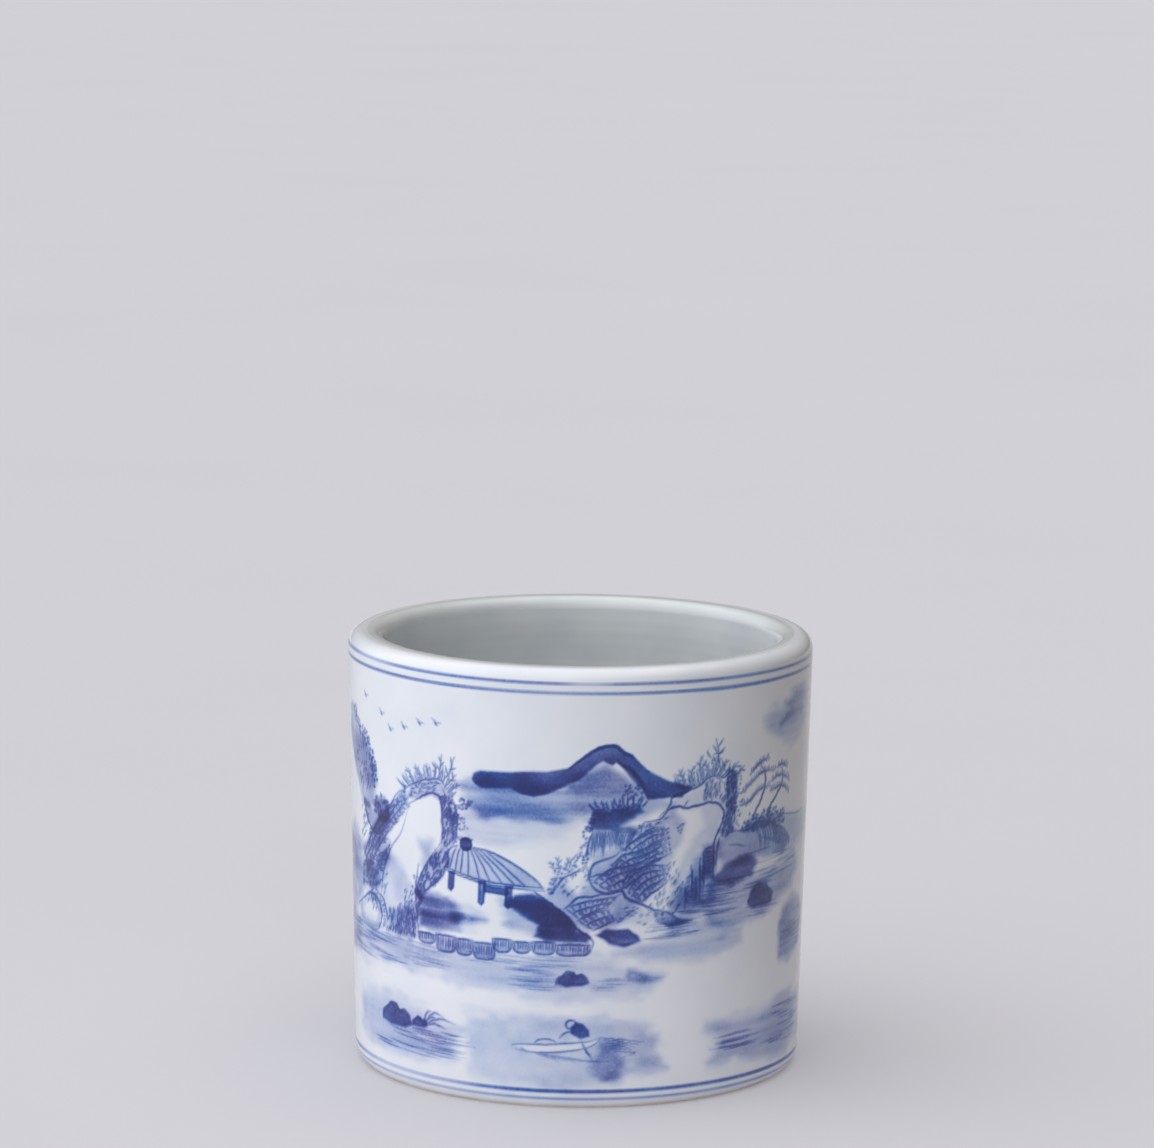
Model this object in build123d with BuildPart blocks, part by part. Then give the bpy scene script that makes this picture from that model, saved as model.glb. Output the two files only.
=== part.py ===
"""Porcelain brush holder pot: a thrown wall on a luted floor and a turned foot, with painted lines and glaze.

Millimetres, +Z up. The origin is at the centre of the foot's underside, and Z is the axis that the pot was thrown on.
"""

import os
from math import atan2, hypot, tan

from build123d import *

# Overall sizes of the finished, glazed pot.
outside_diameter = 152.0  # across the top of the side, before the lip is rounded
height = 142.0
side_taper = 3.2  # how far the side leans in, on each side, from the top down to the table

# The thrown wall and its thick lip.
wall_thickness = 8.4
lip_width = 11.7  # from the outside in to the narrowest part of the mouth, glaze and all
lip_depth = 9.0  # height of the straight band inside the mouth
lip_undercut = 14.0  # height over which the thick lip runs back into the wall below it
undercut_rounding = 0.3  # share of the sloping undercut that each of its two roundings takes up
undercut_widest_round = 80.0  # a nearly straight undercut is rounded no wider than this
lip_outer_round = 4.2
lip_inner_round = 3.4

# The floor, the heel and the turned foot.
floor_thickness = 8.0
seam_round = 7.0  # hollow of the clay coil smoothed into the corner between wall and floor
heel_round = 6.5
heel_inset = 2.4  # how far the rounding brings the foot in from the side
foot_height = 4.0  # depth of the hollow under the floor
foot_width = 7.5
foot_edge_round = 0.8

# Glaze and cobalt.
glaze_thickness = 0.5
bare_foot_height = 1.0  # the glaze is wiped off below this
band_thickness = 0.15
band_width = 1.1
rim_band_drops = (4.6, 7.3)  # from the top of the pot down to the middle of each band
foot_band_heights = (6.0, 3.4)  # from the table up to the middle of each band

# The fired clay under the glaze.
clay_height = height - glaze_thickness
clay_top_radius = outside_diameter / 2 - glaze_thickness
clay_foot_radius = clay_top_radius - side_taper
mouth_radius = outside_diameter / 2 - lip_width + glaze_thickness
side_slope = (clay_top_radius - clay_foot_radius) / clay_height  # run outwards for each mm of height
floor_underside = foot_height + glaze_thickness
floor_top = floor_underside + floor_thickness
foot_outer_radius = clay_foot_radius - heel_inset
foot_inner_radius = foot_outer_radius - foot_width
heel_top = (heel_round**2 - (heel_round - heel_inset) ** 2) ** 0.5
lip_bottom = clay_height - lip_depth
undercut_bottom = lip_bottom - lip_undercut
band_heights = [height - drop for drop in rim_band_drops] + list(foot_band_heights)

# The two lines that part the glaze coats: one up through the wall, one across the floor.
coat_split_radius = (clay_top_radius - lip_outer_round + mouth_radius + lip_inner_round) / 2
floor_middle = (floor_top + floor_underside) / 2
reach = outside_diameter  # larger than any half section


def side_radius(level):
    """Radius of the clay's outer side at a height above the table."""
    return clay_foot_radius + side_slope * level


def inside_radius(level):
    """Radius of the clay's inner side at a height, below the lip."""
    return side_radius(level) - wall_thickness


def round_corner(point, radius):
    """Fillets the corner of the section being drawn that lies nearest to a point."""
    fillet(clay_section.vertices().sort_by_distance(point)[0], radius)


def seam_corner(mode):
    """A triangle over the corner between wall and floor, a little larger than the coil in it."""
    leg = 1.2 * seam_round
    corner = (inside_radius(floor_top), floor_top)
    along_floor = (inside_radius(floor_top) - leg, floor_top)
    up_wall = (inside_radius(floor_top + leg), floor_top + leg)
    Polygon(corner, up_wall, along_floor, align=None, mode=mode)


def zone(inner, outer, bottom, top, mode=Mode.INTERSECT):
    """A rectangle in the half section, given by its radii and heights."""
    with Locations(((inner + outer) / 2, (bottom + top) / 2)):
        Rectangle(outer - inner, top - bottom, mode=mode)


undercut_step = abs(inside_radius(undercut_bottom) - mouth_radius)
undercut_slope = hypot(undercut_step, lip_undercut)
undercut_turn = atan2(undercut_step, lip_undercut)
undercut_full_round = undercut_rounding * undercut_slope / tan(undercut_turn / 2)
undercut_round = min(undercut_full_round, undercut_widest_round)

# Half section of all the clay. X is the radius and Y the height.
with BuildSketch() as clay_section:
    with BuildLine():
        heel_start = (foot_outer_radius, 0)
        heel_end = (side_radius(heel_top), heel_top)
        RadiusArc(heel_start, heel_end, -heel_round)
        side = Line(heel_end, (clay_top_radius, clay_height))
        crest = Line(side @ 1, (mouth_radius, clay_height))
        mouth = Line(crest @ 1, (mouth_radius, lip_bottom))
        undercut = Line(mouth @ 1, (inside_radius(undercut_bottom), undercut_bottom))
        inner_side = Line(undercut @ 1, (inside_radius(floor_top), floor_top))
        floor = Line(inner_side @ 1, (0, floor_top))
        axis = Line(floor @ 1, (0, floor_underside))
        underside = Line(axis @ 1, (foot_inner_radius, floor_underside))
        foot_inside = Line(underside @ 1, (foot_inner_radius, 0))
        Line(foot_inside @ 1, heel_start)
    make_face()
    round_corner(crest @ 0, lip_outer_round)
    round_corner(crest @ 1, lip_inner_round)
    round_corner(undercut @ 0, undercut_round)
    round_corner(undercut @ 1, undercut_round)
    round_corner(floor @ 0, seam_round)
    round_corner(foot_inside @ 1, foot_edge_round)

# Half section of the clay with the glaze all round it, and of the clay with the cobalt all round it.
with BuildSketch() as glazed_section:
    add(clay_section.sketch)
    offset(amount=glaze_thickness)

with BuildSketch() as painted_section:
    add(clay_section.sketch)
    offset(amount=band_thickness)

with BuildSketch() as band_section:
    add(painted_section.sketch)
    add(clay_section.sketch, mode=Mode.SUBTRACT)
    with BuildSketch(mode=Mode.INTERSECT):
        for middle in band_heights:
            zone(coat_split_radius, reach, middle - band_width / 2, middle + band_width / 2, Mode.ADD)

os.makedirs("parts", exist_ok=True)

# The thrown wall stands on the floor slab and carries the lip.
with BuildPart() as thrown_wall:
    with BuildSketch(Plane.XZ):
        add(clay_section.sketch)
        zone(0, reach, floor_top, height)
        seam_corner(Mode.SUBTRACT)
    revolve(axis=Axis.Z)
thrown_wall.part.label = "thrown_wall"
export_step(thrown_wall.part, "parts/thrown_wall.step")

# A thin coil of soft clay is pressed and smoothed into the corner where the wall meets the floor.
with BuildPart() as seam_coil:
    with BuildSketch(Plane.XZ):
        add(clay_section.sketch)
        seam_corner(Mode.INTERSECT)
    revolve(axis=Axis.Z)
seam_coil.part.label = "seam_coil"
export_step(seam_coil.part, "parts/seam_coil.step")

# The floor slab is rolled flat, cut round and luted under the wall.
with BuildPart() as floor_slab:
    with BuildSketch(Plane.XZ):
        add(clay_section.sketch)
        zone(0, reach, floor_underside, floor_top)
    revolve(axis=Axis.Z)
floor_slab.part.label = "floor_slab"
export_step(floor_slab.part, "parts/floor_slab.step")

# The foot ring is turned to its profile and left bare where it stands on the table.
with BuildPart() as foot_ring:
    with BuildSketch(Plane.XZ):
        add(clay_section.sketch)
        zone(0, reach, 0, floor_underside)
    revolve(axis=Axis.Z)
foot_ring.part.label = "foot_ring"
export_step(foot_ring.part, "parts/foot_ring.step")

# Four banding lines, brushed on the raw clay as it turns: two under the lip and two above the foot.
with BuildPart() as banding_lines:
    with BuildSketch(Plane.XZ):
        add(band_section.sketch)
    revolve(axis=Axis.Z)
banding_lines.part.label = "banding_lines"
export_step(banding_lines.part, "parts/banding_lines.step")

# The outer coat covers the side, the lines and the outer half of the lip.
with BuildPart() as outer_glaze:
    with BuildSketch(Plane.XZ):
        add(glazed_section.sketch)
        add(clay_section.sketch, mode=Mode.SUBTRACT)
        add(band_section.sketch, mode=Mode.SUBTRACT)
        zone(coat_split_radius, reach, bare_foot_height, height)
    revolve(axis=Axis.Z)
outer_glaze.part.label = "outer_glaze"
export_step(outer_glaze.part, "parts/outer_glaze.step")

# The inner coat is poured in: it covers the floor, the inner side and the inner half of the lip.
with BuildPart() as inner_glaze:
    with BuildSketch(Plane.XZ):
        add(glazed_section.sketch)
        add(clay_section.sketch, mode=Mode.SUBTRACT)
        zone(0, coat_split_radius, floor_middle, height)
    revolve(axis=Axis.Z)
inner_glaze.part.label = "inner_glaze"
export_step(inner_glaze.part, "parts/inner_glaze.step")

# The underside coat is brushed into the hollow inside the foot ring.
with BuildPart() as underside_glaze:
    with BuildSketch(Plane.XZ):
        add(glazed_section.sketch)
        add(clay_section.sketch, mode=Mode.SUBTRACT)
        zone(0, foot_inner_radius, bare_foot_height, floor_middle)
    revolve(axis=Axis.Z)
underside_glaze.part.label = "underside_glaze"
export_step(underside_glaze.part, "parts/underside_glaze.step")
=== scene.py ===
# %% [markdown]
# # A blue-and-white porcelain brush pot
#
# The pot is a thick-lipped cylinder of white porcelain, painted with cobalt under a clear glaze. The packed
# CAD model holds its clay, its glaze coats and its sizes. This lesson gives it its looks: a landscape
# brushed all round the side, four banding lines, glossy glaze, and a bare foot that stands on the table.

import math

import bpy
import numpy as np
from mathutils import Matrix, Vector


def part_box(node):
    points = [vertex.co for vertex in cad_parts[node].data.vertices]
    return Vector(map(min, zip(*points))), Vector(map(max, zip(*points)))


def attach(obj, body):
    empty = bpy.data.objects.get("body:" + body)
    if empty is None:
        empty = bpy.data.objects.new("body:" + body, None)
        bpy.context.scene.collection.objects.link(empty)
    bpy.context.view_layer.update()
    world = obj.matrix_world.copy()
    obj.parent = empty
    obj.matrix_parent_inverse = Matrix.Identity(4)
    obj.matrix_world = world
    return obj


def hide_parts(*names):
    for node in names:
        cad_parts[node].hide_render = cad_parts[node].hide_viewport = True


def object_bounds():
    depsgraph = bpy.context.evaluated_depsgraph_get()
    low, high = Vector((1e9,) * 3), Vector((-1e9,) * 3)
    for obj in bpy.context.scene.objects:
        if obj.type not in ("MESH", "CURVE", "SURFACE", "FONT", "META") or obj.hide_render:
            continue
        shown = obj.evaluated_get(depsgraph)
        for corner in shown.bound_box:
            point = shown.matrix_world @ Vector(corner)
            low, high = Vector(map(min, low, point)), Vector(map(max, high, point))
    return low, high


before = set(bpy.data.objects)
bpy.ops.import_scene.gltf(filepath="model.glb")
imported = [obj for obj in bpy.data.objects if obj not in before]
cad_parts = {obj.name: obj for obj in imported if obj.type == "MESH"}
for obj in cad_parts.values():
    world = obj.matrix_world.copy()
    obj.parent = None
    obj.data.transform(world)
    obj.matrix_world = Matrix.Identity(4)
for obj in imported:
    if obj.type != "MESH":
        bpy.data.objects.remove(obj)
cad_low, cad_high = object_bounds()
print("packed nodes:", ", ".join(sorted(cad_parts)))
print("CAD box in mm:", [round((high - low) * 1000, 1) for low, high in zip(cad_low, cad_high)])

# %% [markdown]
# ## Sizes
#
# A potter gives a pot's profile as a few radii and heights. The height and the two coats' places are read
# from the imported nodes. The rest are the profile's own sizes, in millimetres, with the glaze counted in.
# Everything below is worked out in millimetres and turned into metres when a mesh is made.

# %% Profile sizes
MM = 0.001
outer_low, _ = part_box("outer_glaze")
_, inner_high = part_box("inner_glaze")
height = cad_high.z / MM
bare_height = outer_low.z / MM
coat_split = inner_high.x / MM
glaze = 0.5
side_top = 76.0  # radius at the top of the side, before the lip is rounded
side_lean = 3.2  # how far the side leans in, from the top down to the table
lip_round = 4.7
mouth_radius = 64.3
mouth_round = 3.9
lip_band = 9.0  # height of the straight band inside the mouth
lip_undercut = 14.0  # height over which the lip runs back into the wall
undercut_round = 60.0
wall = 8.4
floor_level = 13.0
floor_round = 6.5
heel_round = 7.0
heel_inset = 2.9  # how far the rounded heel brings the foot in from the side
foot_inside = 61.9  # radius of the hollow under the foot
foot_hollow = 4.0
hollow_round = 0.6
print(f"height {height:.1f} mm, glaze starts {bare_height:.1f} mm up")
print(f"the coats meet at radius {coat_split:.2f} mm")


def side_radius(level):
    """Radius of the glazed side at a height."""
    return side_top - side_lean + side_lean * level / (height - glaze)


# %% [markdown]
# ## The canvas
#
# Underglaze painting is thin: the cobalt sinks into the raw clay and the glaze seals it, so it has colour
# and no thickness. It could be a stack of noise textures, but noise can't draw a roof. Separate ribbons of
# mesh would stand proud of the glaze. So the brushwork is drawn as numbers, on a grid that is rolled out
# flat from the side of the pot, and each point of the fine glaze mesh later takes its amount of cobalt from
# that grid. "Along" is the distance round the pot from the middle of the front, and "up" is the height,
# both in millimetres.

# %% Canvas
PITCH = 0.2
girth_radius = side_radius(height / 2)
girth = 2 * math.pi * girth_radius
COLUMNS = round(girth / PITCH)
ROWS = round(height / PITCH)
cell = girth / COLUMNS
washes = np.zeros((ROWS, COLUMNS))
strokes = np.zeros((ROWS, COLUMNS))
hand = np.random.default_rng(11)
print(f"canvas {COLUMNS} by {ROWS} cells, {girth:.0f} mm round")

# %% [markdown]
# A brushed wash is never even. Cobalt settles in blotches, and a flat brush leaves streaks along its path.
# Both are smooth noise at different sizes: a blotch is as wide as it is high, and a streak is long and
# thin. The grid of random numbers closes round the pot, so there is no seam.

# %% Blotches and streaks
def smoothstep(x):
    """Rises from 0 to 1 as x does, level at both ends."""
    x = np.clip(x, 0, 1)
    return x * x * (3 - 2 * x)


def cloud(along, up, seed):
    """Smooth noise from 0 to 1, with features of the given size in mm."""
    across = max(3, round(girth / along))
    high = int(height / up) + 3
    grid = np.random.default_rng(seed).random((high, across))
    x = np.arange(COLUMNS) * across / COLUMNS
    y = np.arange(ROWS) * (high - 2) / ROWS
    left, low = x.astype(int), y.astype(int)
    fx, fy = smoothstep(x - left), smoothstep(y - low)[:, None]
    right = (left + 1) % across
    bottom = grid[low][:, left] * (1 - fx) + grid[low][:, right] * fx
    top = grid[low + 1][:, left] * (1 - fx) + grid[low + 1][:, right] * fx
    return bottom * (1 - fy) + top * fy


blotches = 0.6 * cloud(9, 7, 1) + 0.4 * cloud(3.5, 3, 2)
edges = 0.65 * cloud(8, 4, 3) + 0.35 * cloud(3, 1.6, 4)
flat_streaks = 0.65 * cloud(26, 2.6, 5) + 0.35 * cloud(11, 1.1, 6)
upright_streaks = 0.5 * cloud(1.7, 15, 7) + 0.5 * cloud(0.8, 8, 8)
print("noise fields ready")

# %% [markdown]
# ## The painter's brushes
#
# Three movements make the whole picture. A stroke follows a line and thins where the brush lifts. A wash
# fills an outline with thin cobalt that gathers darker at its edge. Rungs are many short strokes between
# two lines. Every point passes through the easel first, which can shift, scale or mirror a group of
# strokes, so a painted group can be used again elsewhere on the pot and still come out different.

# %% Easel and stroke
easel = {"along": 0.0, "up": 0.0, "wide": 1.0, "tall": 1.0}
LAID_AT_ONCE = 12  # runs of a long stroke that are laid together, so that each patch of cells is small


def on_easel(points):
    """Points where the easel puts them."""
    points = np.asarray(points, float).reshape(-1, 2)
    return points * (easel["wide"], easel["tall"]) + (easel["along"], easel["up"])


def move_easel(along=0.0, up=0.0, wide=1.0, tall=1.0):
    """Moves the easel: what is painted next is scaled and shifted by this much."""
    easel.update(along=along, up=up, wide=wide, tall=tall)


def curved(points):
    """A smooth line through the points, with about a point for each millimetre."""
    if len(points) < 3:
        return points
    padded = np.vstack([2 * points[0] - points[1], points, 2 * points[-1] - points[-2]])
    made = [points[:1]]
    for a, b, c, d in zip(padded, padded[1:], padded[2:], padded[3:]):
        count = max(2, int(np.hypot(*(c - b)) / 0.9))
        t = (np.arange(count) + 1)[:, None] / count
        made.append(0.5 * (2 * b + (c - a) * t + (2 * a - 5 * b + 4 * c - d) * t**2
                           + (3 * b - a - 3 * c + d) * t**3))
    return np.vstack(made)


def patch(points, margin):
    """The cells round some points: their place in the canvas, and where each one lies in mm."""
    low, high = points.min(0) - margin, points.max(0) + margin
    columns = np.arange(math.floor(low[0] / cell), math.ceil(high[0] / cell) + 1)
    rows = np.arange(max(0, math.floor(low[1] / PITCH)), min(ROWS, math.ceil(high[1] / PITCH) + 1))
    place = np.ix_(rows, (columns + COLUMNS // 2) % COLUMNS)
    return place, columns[None, :] * cell, rows[:, None] * PITCH


def nearest(x, y, start, end):
    """Distance from each cell to the nearest of some straight runs, and how far along them it is."""
    run = end - start
    length = np.maximum((run**2).sum(1), 1e-9)
    dx, dy = x[..., None] - start[:, 0], y[..., None] - start[:, 1]
    share = np.clip((dx * run[:, 0] + dy * run[:, 1]) / length, 0, 1)
    away = (dx - share * run[:, 0]) ** 2 + (dy - share * run[:, 1]) ** 2
    best = away.argmin(-1)[..., None]
    distance = np.sqrt(np.take_along_axis(away, best, -1))[..., 0]
    along = (best + np.take_along_axis(share, best, -1))[..., 0]
    return distance, along


def stroke(points, width=0.7, ink=0.75, start=0.5, end=0.25, shake=0.1, soft=0.4):
    """One brush line. start and end are the share of the width left at each tip."""
    points = curved(on_easel(points))
    if shake and len(points) > 2:
        points = points + hand.normal(0, shake, points.shape)
    runs = len(points) - 1
    for first in range(0, runs, LAID_AT_ONCE):
        last = min(first + LAID_AT_ONCE, runs)
        place, x, y = patch(points[first:last + 1], width + 1)
        x, y = np.broadcast_arrays(x, y)
        if not x.size:
            continue
        away, along = nearest(x, y, points[first:last], points[first + 1:last + 1])
        along = (along + first) / runs
        press = start + (1 - start) * smoothstep(along / 0.3)
        press = press * (end + (1 - end) * smoothstep((1 - along) / 0.35))
        mark = 0.86 * ink * (0.6 + 0.4 * press) * smoothstep((width / 2 * press + soft - away) / (2 * soft))
        strokes[place] = np.maximum(strokes[place], mark * (0.8 + 0.4 * blotches[place]))


# %% Wash and rungs
def wash(outline, ink=0.3, edge=1.2, rim=0.2, streaks=None, streaky=0.6, dark=(), layer=washes,
         ragged=0.75):
    """Fills an outline with thin cobalt. dark lists places (along, up, reach, gain) where it is stronger."""
    outline = on_easel(outline)
    place, x, y = patch(outline, edge * 2)
    x, y = np.broadcast_arrays(x, y)
    ends = np.roll(outline, -1, 0)
    away, _ = nearest(x, y, outline, ends)
    inside = np.zeros(x.shape, bool)
    for (ax, ay), (bx, by) in zip(outline, ends):
        if ay != by:
            inside ^= ((ay > y) != (by > y)) & (x < (bx - ax) * (y - ay) / (by - ay) + ax)
    depth = np.where(inside, away, -away) + (edges[place] - 0.5) * 1.5 * edge * ragged
    fill = smoothstep(0.5 + depth / (1.7 * edge))
    body = 0.76 + 0.48 * blotches[place]
    if streaks is not None:
        body = body * (1 - streaky + 2 * streaky * streaks[place])
    for along, up, reach, gain in dark:
        (cx, cy), = on_easel([(along, up)])
        body = body + gain * np.exp(-((x - cx) ** 2 + (1.6 * (y - cy)) ** 2) / reach**2)
    pooled = rim * np.exp(-(((depth - edge * 0.6) / (0.5 * edge)) ** 2))
    layer[place] = layer[place] + ink * fill * (np.maximum(body, 0) + pooled)


def lift(outline, share=0.8, edge=1.5):
    """Takes cobalt away inside an outline, as a damp clean brush does."""
    outline = on_easel(outline)
    place, x, y = patch(outline, edge * 2)
    blank = np.zeros_like(washes)
    wash_easel = dict(easel)
    move_easel()
    wash(outline, ink=1.0, edge=edge, rim=0.0, layer=blank)
    easel.update(wash_easel)
    washes[place] *= 1 - share * np.clip(blank[place], 0, 1)


def walked_lengths(line):
    """How far along a line each of its points lies."""
    return np.concatenate([[0], np.cumsum(np.hypot(*np.diff(line, axis=0).T))])


def at_share(line, share):
    """Points at given shares of a line's length."""
    line = curved(np.asarray(line, float))
    walked = walked_lengths(line)
    walked /= walked[-1]
    return np.column_stack([np.interp(share, walked, line[:, 0]), np.interp(share, walked, line[:, 1])])


def rungs(first, second, count, width=0.45, ink=0.6, bow=0.0, loose=0.25):
    """Short strokes from one line to another, like hatching, roof ribs or the joints of stones."""
    share = (np.arange(count) + 0.5) / count + hand.uniform(-loose, loose, count) / count
    starts, ends = at_share(first, share), at_share(second, share)
    for a, b in zip(starts, ends):
        b = a + (b - a) * hand.uniform(1 - loose, 1 + 0.3 * loose)
        turn = np.array([a[1] - b[1], b[0] - a[0]]) * bow
        stroke([a, (a + b) / 2 + turn, b], width, ink * hand.uniform(0.8, 1.1), shake=0.05)


# %% [markdown]
# ## Small marks
#
# A landscape in this manner is built from a few kinds of mark, learnt by heart: dots for leaves, forked
# twigs, spikes of grass, level lines for water, short curved strokes for the skin of a rock, and a net of
# small cells for a cliff's strata. Each is a function here, so that the large forms below can be drawn with
# few words.

# %% Small marks
def scattered(outline, count):
    """Random points inside an outline."""
    outline = np.asarray(outline, float)
    low, high = outline.min(0), outline.max(0)
    found = []
    while len(found) < count:
        x, y = hand.uniform(low, high)
        inside = False
        for (ax, ay), (bx, by) in zip(outline, np.roll(outline, -1, 0)):
            if (ay > y) != (by > y) and x < (bx - ax) * (y - ay) / (by - ay) + ax:
                inside = not inside
        if inside:
            found.append((x, y))
    return found


def dots(outline, count, size=0.9, ink=0.7):
    """Leaf dots: short fat touches of the brush tip."""
    for x, y in scattered(outline, count):
        turn, long = hand.uniform(0, math.pi), size * hand.uniform(0.2, 0.7)
        tip = (x + long * math.cos(turn), y + long * math.sin(turn))
        stroke([(x, y), tip], size * hand.uniform(0.7, 1.2), ink * hand.uniform(0.75, 1.1), start=0.8,
               end=0.6)


def twig(along, up, length, turn, width=0.55, ink=0.72, forks=3):
    """A bare twig that leans from the vertical by a turn in degrees, with forks near its tip."""
    turn = math.radians(turn)
    aim = np.array([math.sin(turn), math.cos(turn)])
    side = np.array([aim[1], -aim[0]])
    foot = np.array([along, up])
    bend = side * length * hand.uniform(-0.12, 0.12)
    stroke([foot, foot + aim * length / 2 + bend, foot + aim * length], width, ink, start=1.0, end=0.5)
    for k in range(forks):
        at = foot + aim * length * (0.35 + 0.55 * k / max(1, forks)) + bend * 0.6
        way = side * (1 if k % 2 else -1) * hand.uniform(0.5, 0.9) + aim * 0.8
        stroke([at, at + way * length * hand.uniform(0.2, 0.34)], width * 0.9, ink, start=0.9, end=0.5)


def grass(line, count, length, lean=0.0, spread=35.0, width=0.45, ink=0.7):
    """Spikes of grass that stand along a line and fan out."""
    for k, (x, y) in enumerate(at_share(line, (np.arange(count) + hand.uniform(0.2, 0.8, count)) / count)):
        turn = math.radians(lean + spread * (2 * (k + 0.5) / count - 1) + hand.uniform(-12, 12))
        long = length * hand.uniform(0.6, 1.15)
        tip = (x + long * math.sin(turn), y + long * math.cos(turn))
        stroke([(x, y), ((x + tip[0]) / 2 + 0.15 * long * math.sin(turn), (y + tip[1]) / 2), tip],
               width, ink * hand.uniform(0.8, 1.1), start=1.0, end=0.3)


def water(left, right, low, high, count, length=14.0, width=0.4, ink=0.42, fall=0.03):
    """Level lines of water in a box, each with its own length, falling a little to one side."""
    for k in range(count):
        y = low + (high - low) * (k + hand.uniform(0.2, 0.8)) / count
        long = min(length * hand.uniform(0.5, 1.3), right - left)
        x = hand.uniform(left, right - long)
        sag = hand.uniform(-0.25, 0.25)
        stroke([(x, y), (x + long / 2, y + sag - fall * long / 2), (x + long, y - fall * long)],
               width, ink * hand.uniform(0.7, 1.25), start=0.3, end=0.15, shake=0.04)


def bird(along, up, ink=0.6):
    """A far bird: a short body and two bent wings."""
    stroke([(along - 0.6, up + 0.7), (along + 0.5, up - 0.5)], 0.95, ink, start=0.7, end=0.5)
    stroke([(along - 0.2, up + 0.4), (along - 1.0, up + 1.3), (along - 1.7, up + 1.5)], 0.4, ink * 0.7)
    stroke([(along + 0.2, up + 0.2), (along + 1.3, up + 0.4), (along + 2.1, up + 0.1)], 0.4, ink * 0.7)


def skin(outline, count, turn, length=1.8, width=0.42, ink=0.6, bow=0.35):
    """The skin of a rock: short curved strokes, all leaning one way (degrees from level)."""
    for x, y in scattered(outline, count):
        way = math.radians(turn + hand.uniform(-22, 22))
        dx, dy = math.cos(way) * length / 2, math.sin(way) * length / 2
        stroke([(x - dx, y - dy), (x - dy * bow, y + dx * bow), (x + dx, y + dy)],
               width, ink * hand.uniform(0.75, 1.15), shake=0.04)


def strata(upper, lower, layers, joints, width=0.5, ink=0.68):
    """A band of rock: lines that follow it, with joints across each layer, shifted like bricks."""
    upper, lower = np.asarray(upper, float), np.asarray(lower, float)
    share = np.linspace(0, 1, 9)
    above, below = at_share(upper, share), at_share(lower, share)
    lines = [above + (below - above) * k / layers for k in range(layers + 1)]
    for line in lines:
        stroke(line, width * 1.15, ink * 1.05, shake=0.1)
    for one, two in zip(lines, lines[1:]):
        rungs(one, two, joints, width, ink * 0.9, loose=0.45)


# %% [markdown]
# ## The sky and the far mountain
#
# The distance is laid in first and thinnest. The far mountain is one loaded stroke, deep blue along its
# crest, and its face fades through level streaks into mist. The banding lines are drawn while the pot turns
# on the wheel: each drifts by half a millimetre, thins where the brush runs dry and darkens where it was
# dipped again.

# %% Banding lines, as they drift round the pot
def banding_line(level, drift, turns, width, ink, dry):
    """A line all round: its height drifts, and dry lists where (along, reach, share) the brush ran thin."""
    along = (np.arange(COLUMNS) - COLUMNS // 2) * cell
    around = along / girth_radius
    middle = level - drift * np.sin(around + turns) + 0.12 * np.sin(3 * around + 2 * turns)
    strength = ink * (0.85 + 0.3 * blotches[int(level / PITCH)])
    for place, reach, share in dry:
        strength = strength * (1 - share * smoothstep(1.2 - np.abs(along - place) / reach))
    away = np.abs(np.arange(ROWS)[:, None] * PITCH - middle)
    mark = strength * smoothstep((width / 2 + 0.3 - away) / 0.6)
    strokes[:] = np.maximum(strokes, mark)


banding_line(137.7, 0.7, 0.2, 1.0, 0.5, [(3, 9, 0.5), (-80, 16, 0.35), (150, 20, 0.4)])
banding_line(134.7, 0.6, 0.3, 1.1, 0.5, [(-15, 30, 0.2), (205, 25, 0.5)])
banding_line(5.9, 0.3, 0.1, 1.2, 0.62, [(-66, 42, 0.62), (190, 30, 0.4)])
banding_line(3.4, 0.35, 0.2, 1.0, 0.36, [(-60, 40, 0.3), (120, 30, 0.4)])
stroke([(32, 134.1), (60, 134.0), (92, 134.0)], 1.0, 0.66, start=0.5, end=0.3, shake=0)
stroke([(12, 137.3), (40, 137.2), (88, 137.1)], 0.9, 0.55, start=0.4, end=0.3, shake=0)
print("four banding lines")


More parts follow.
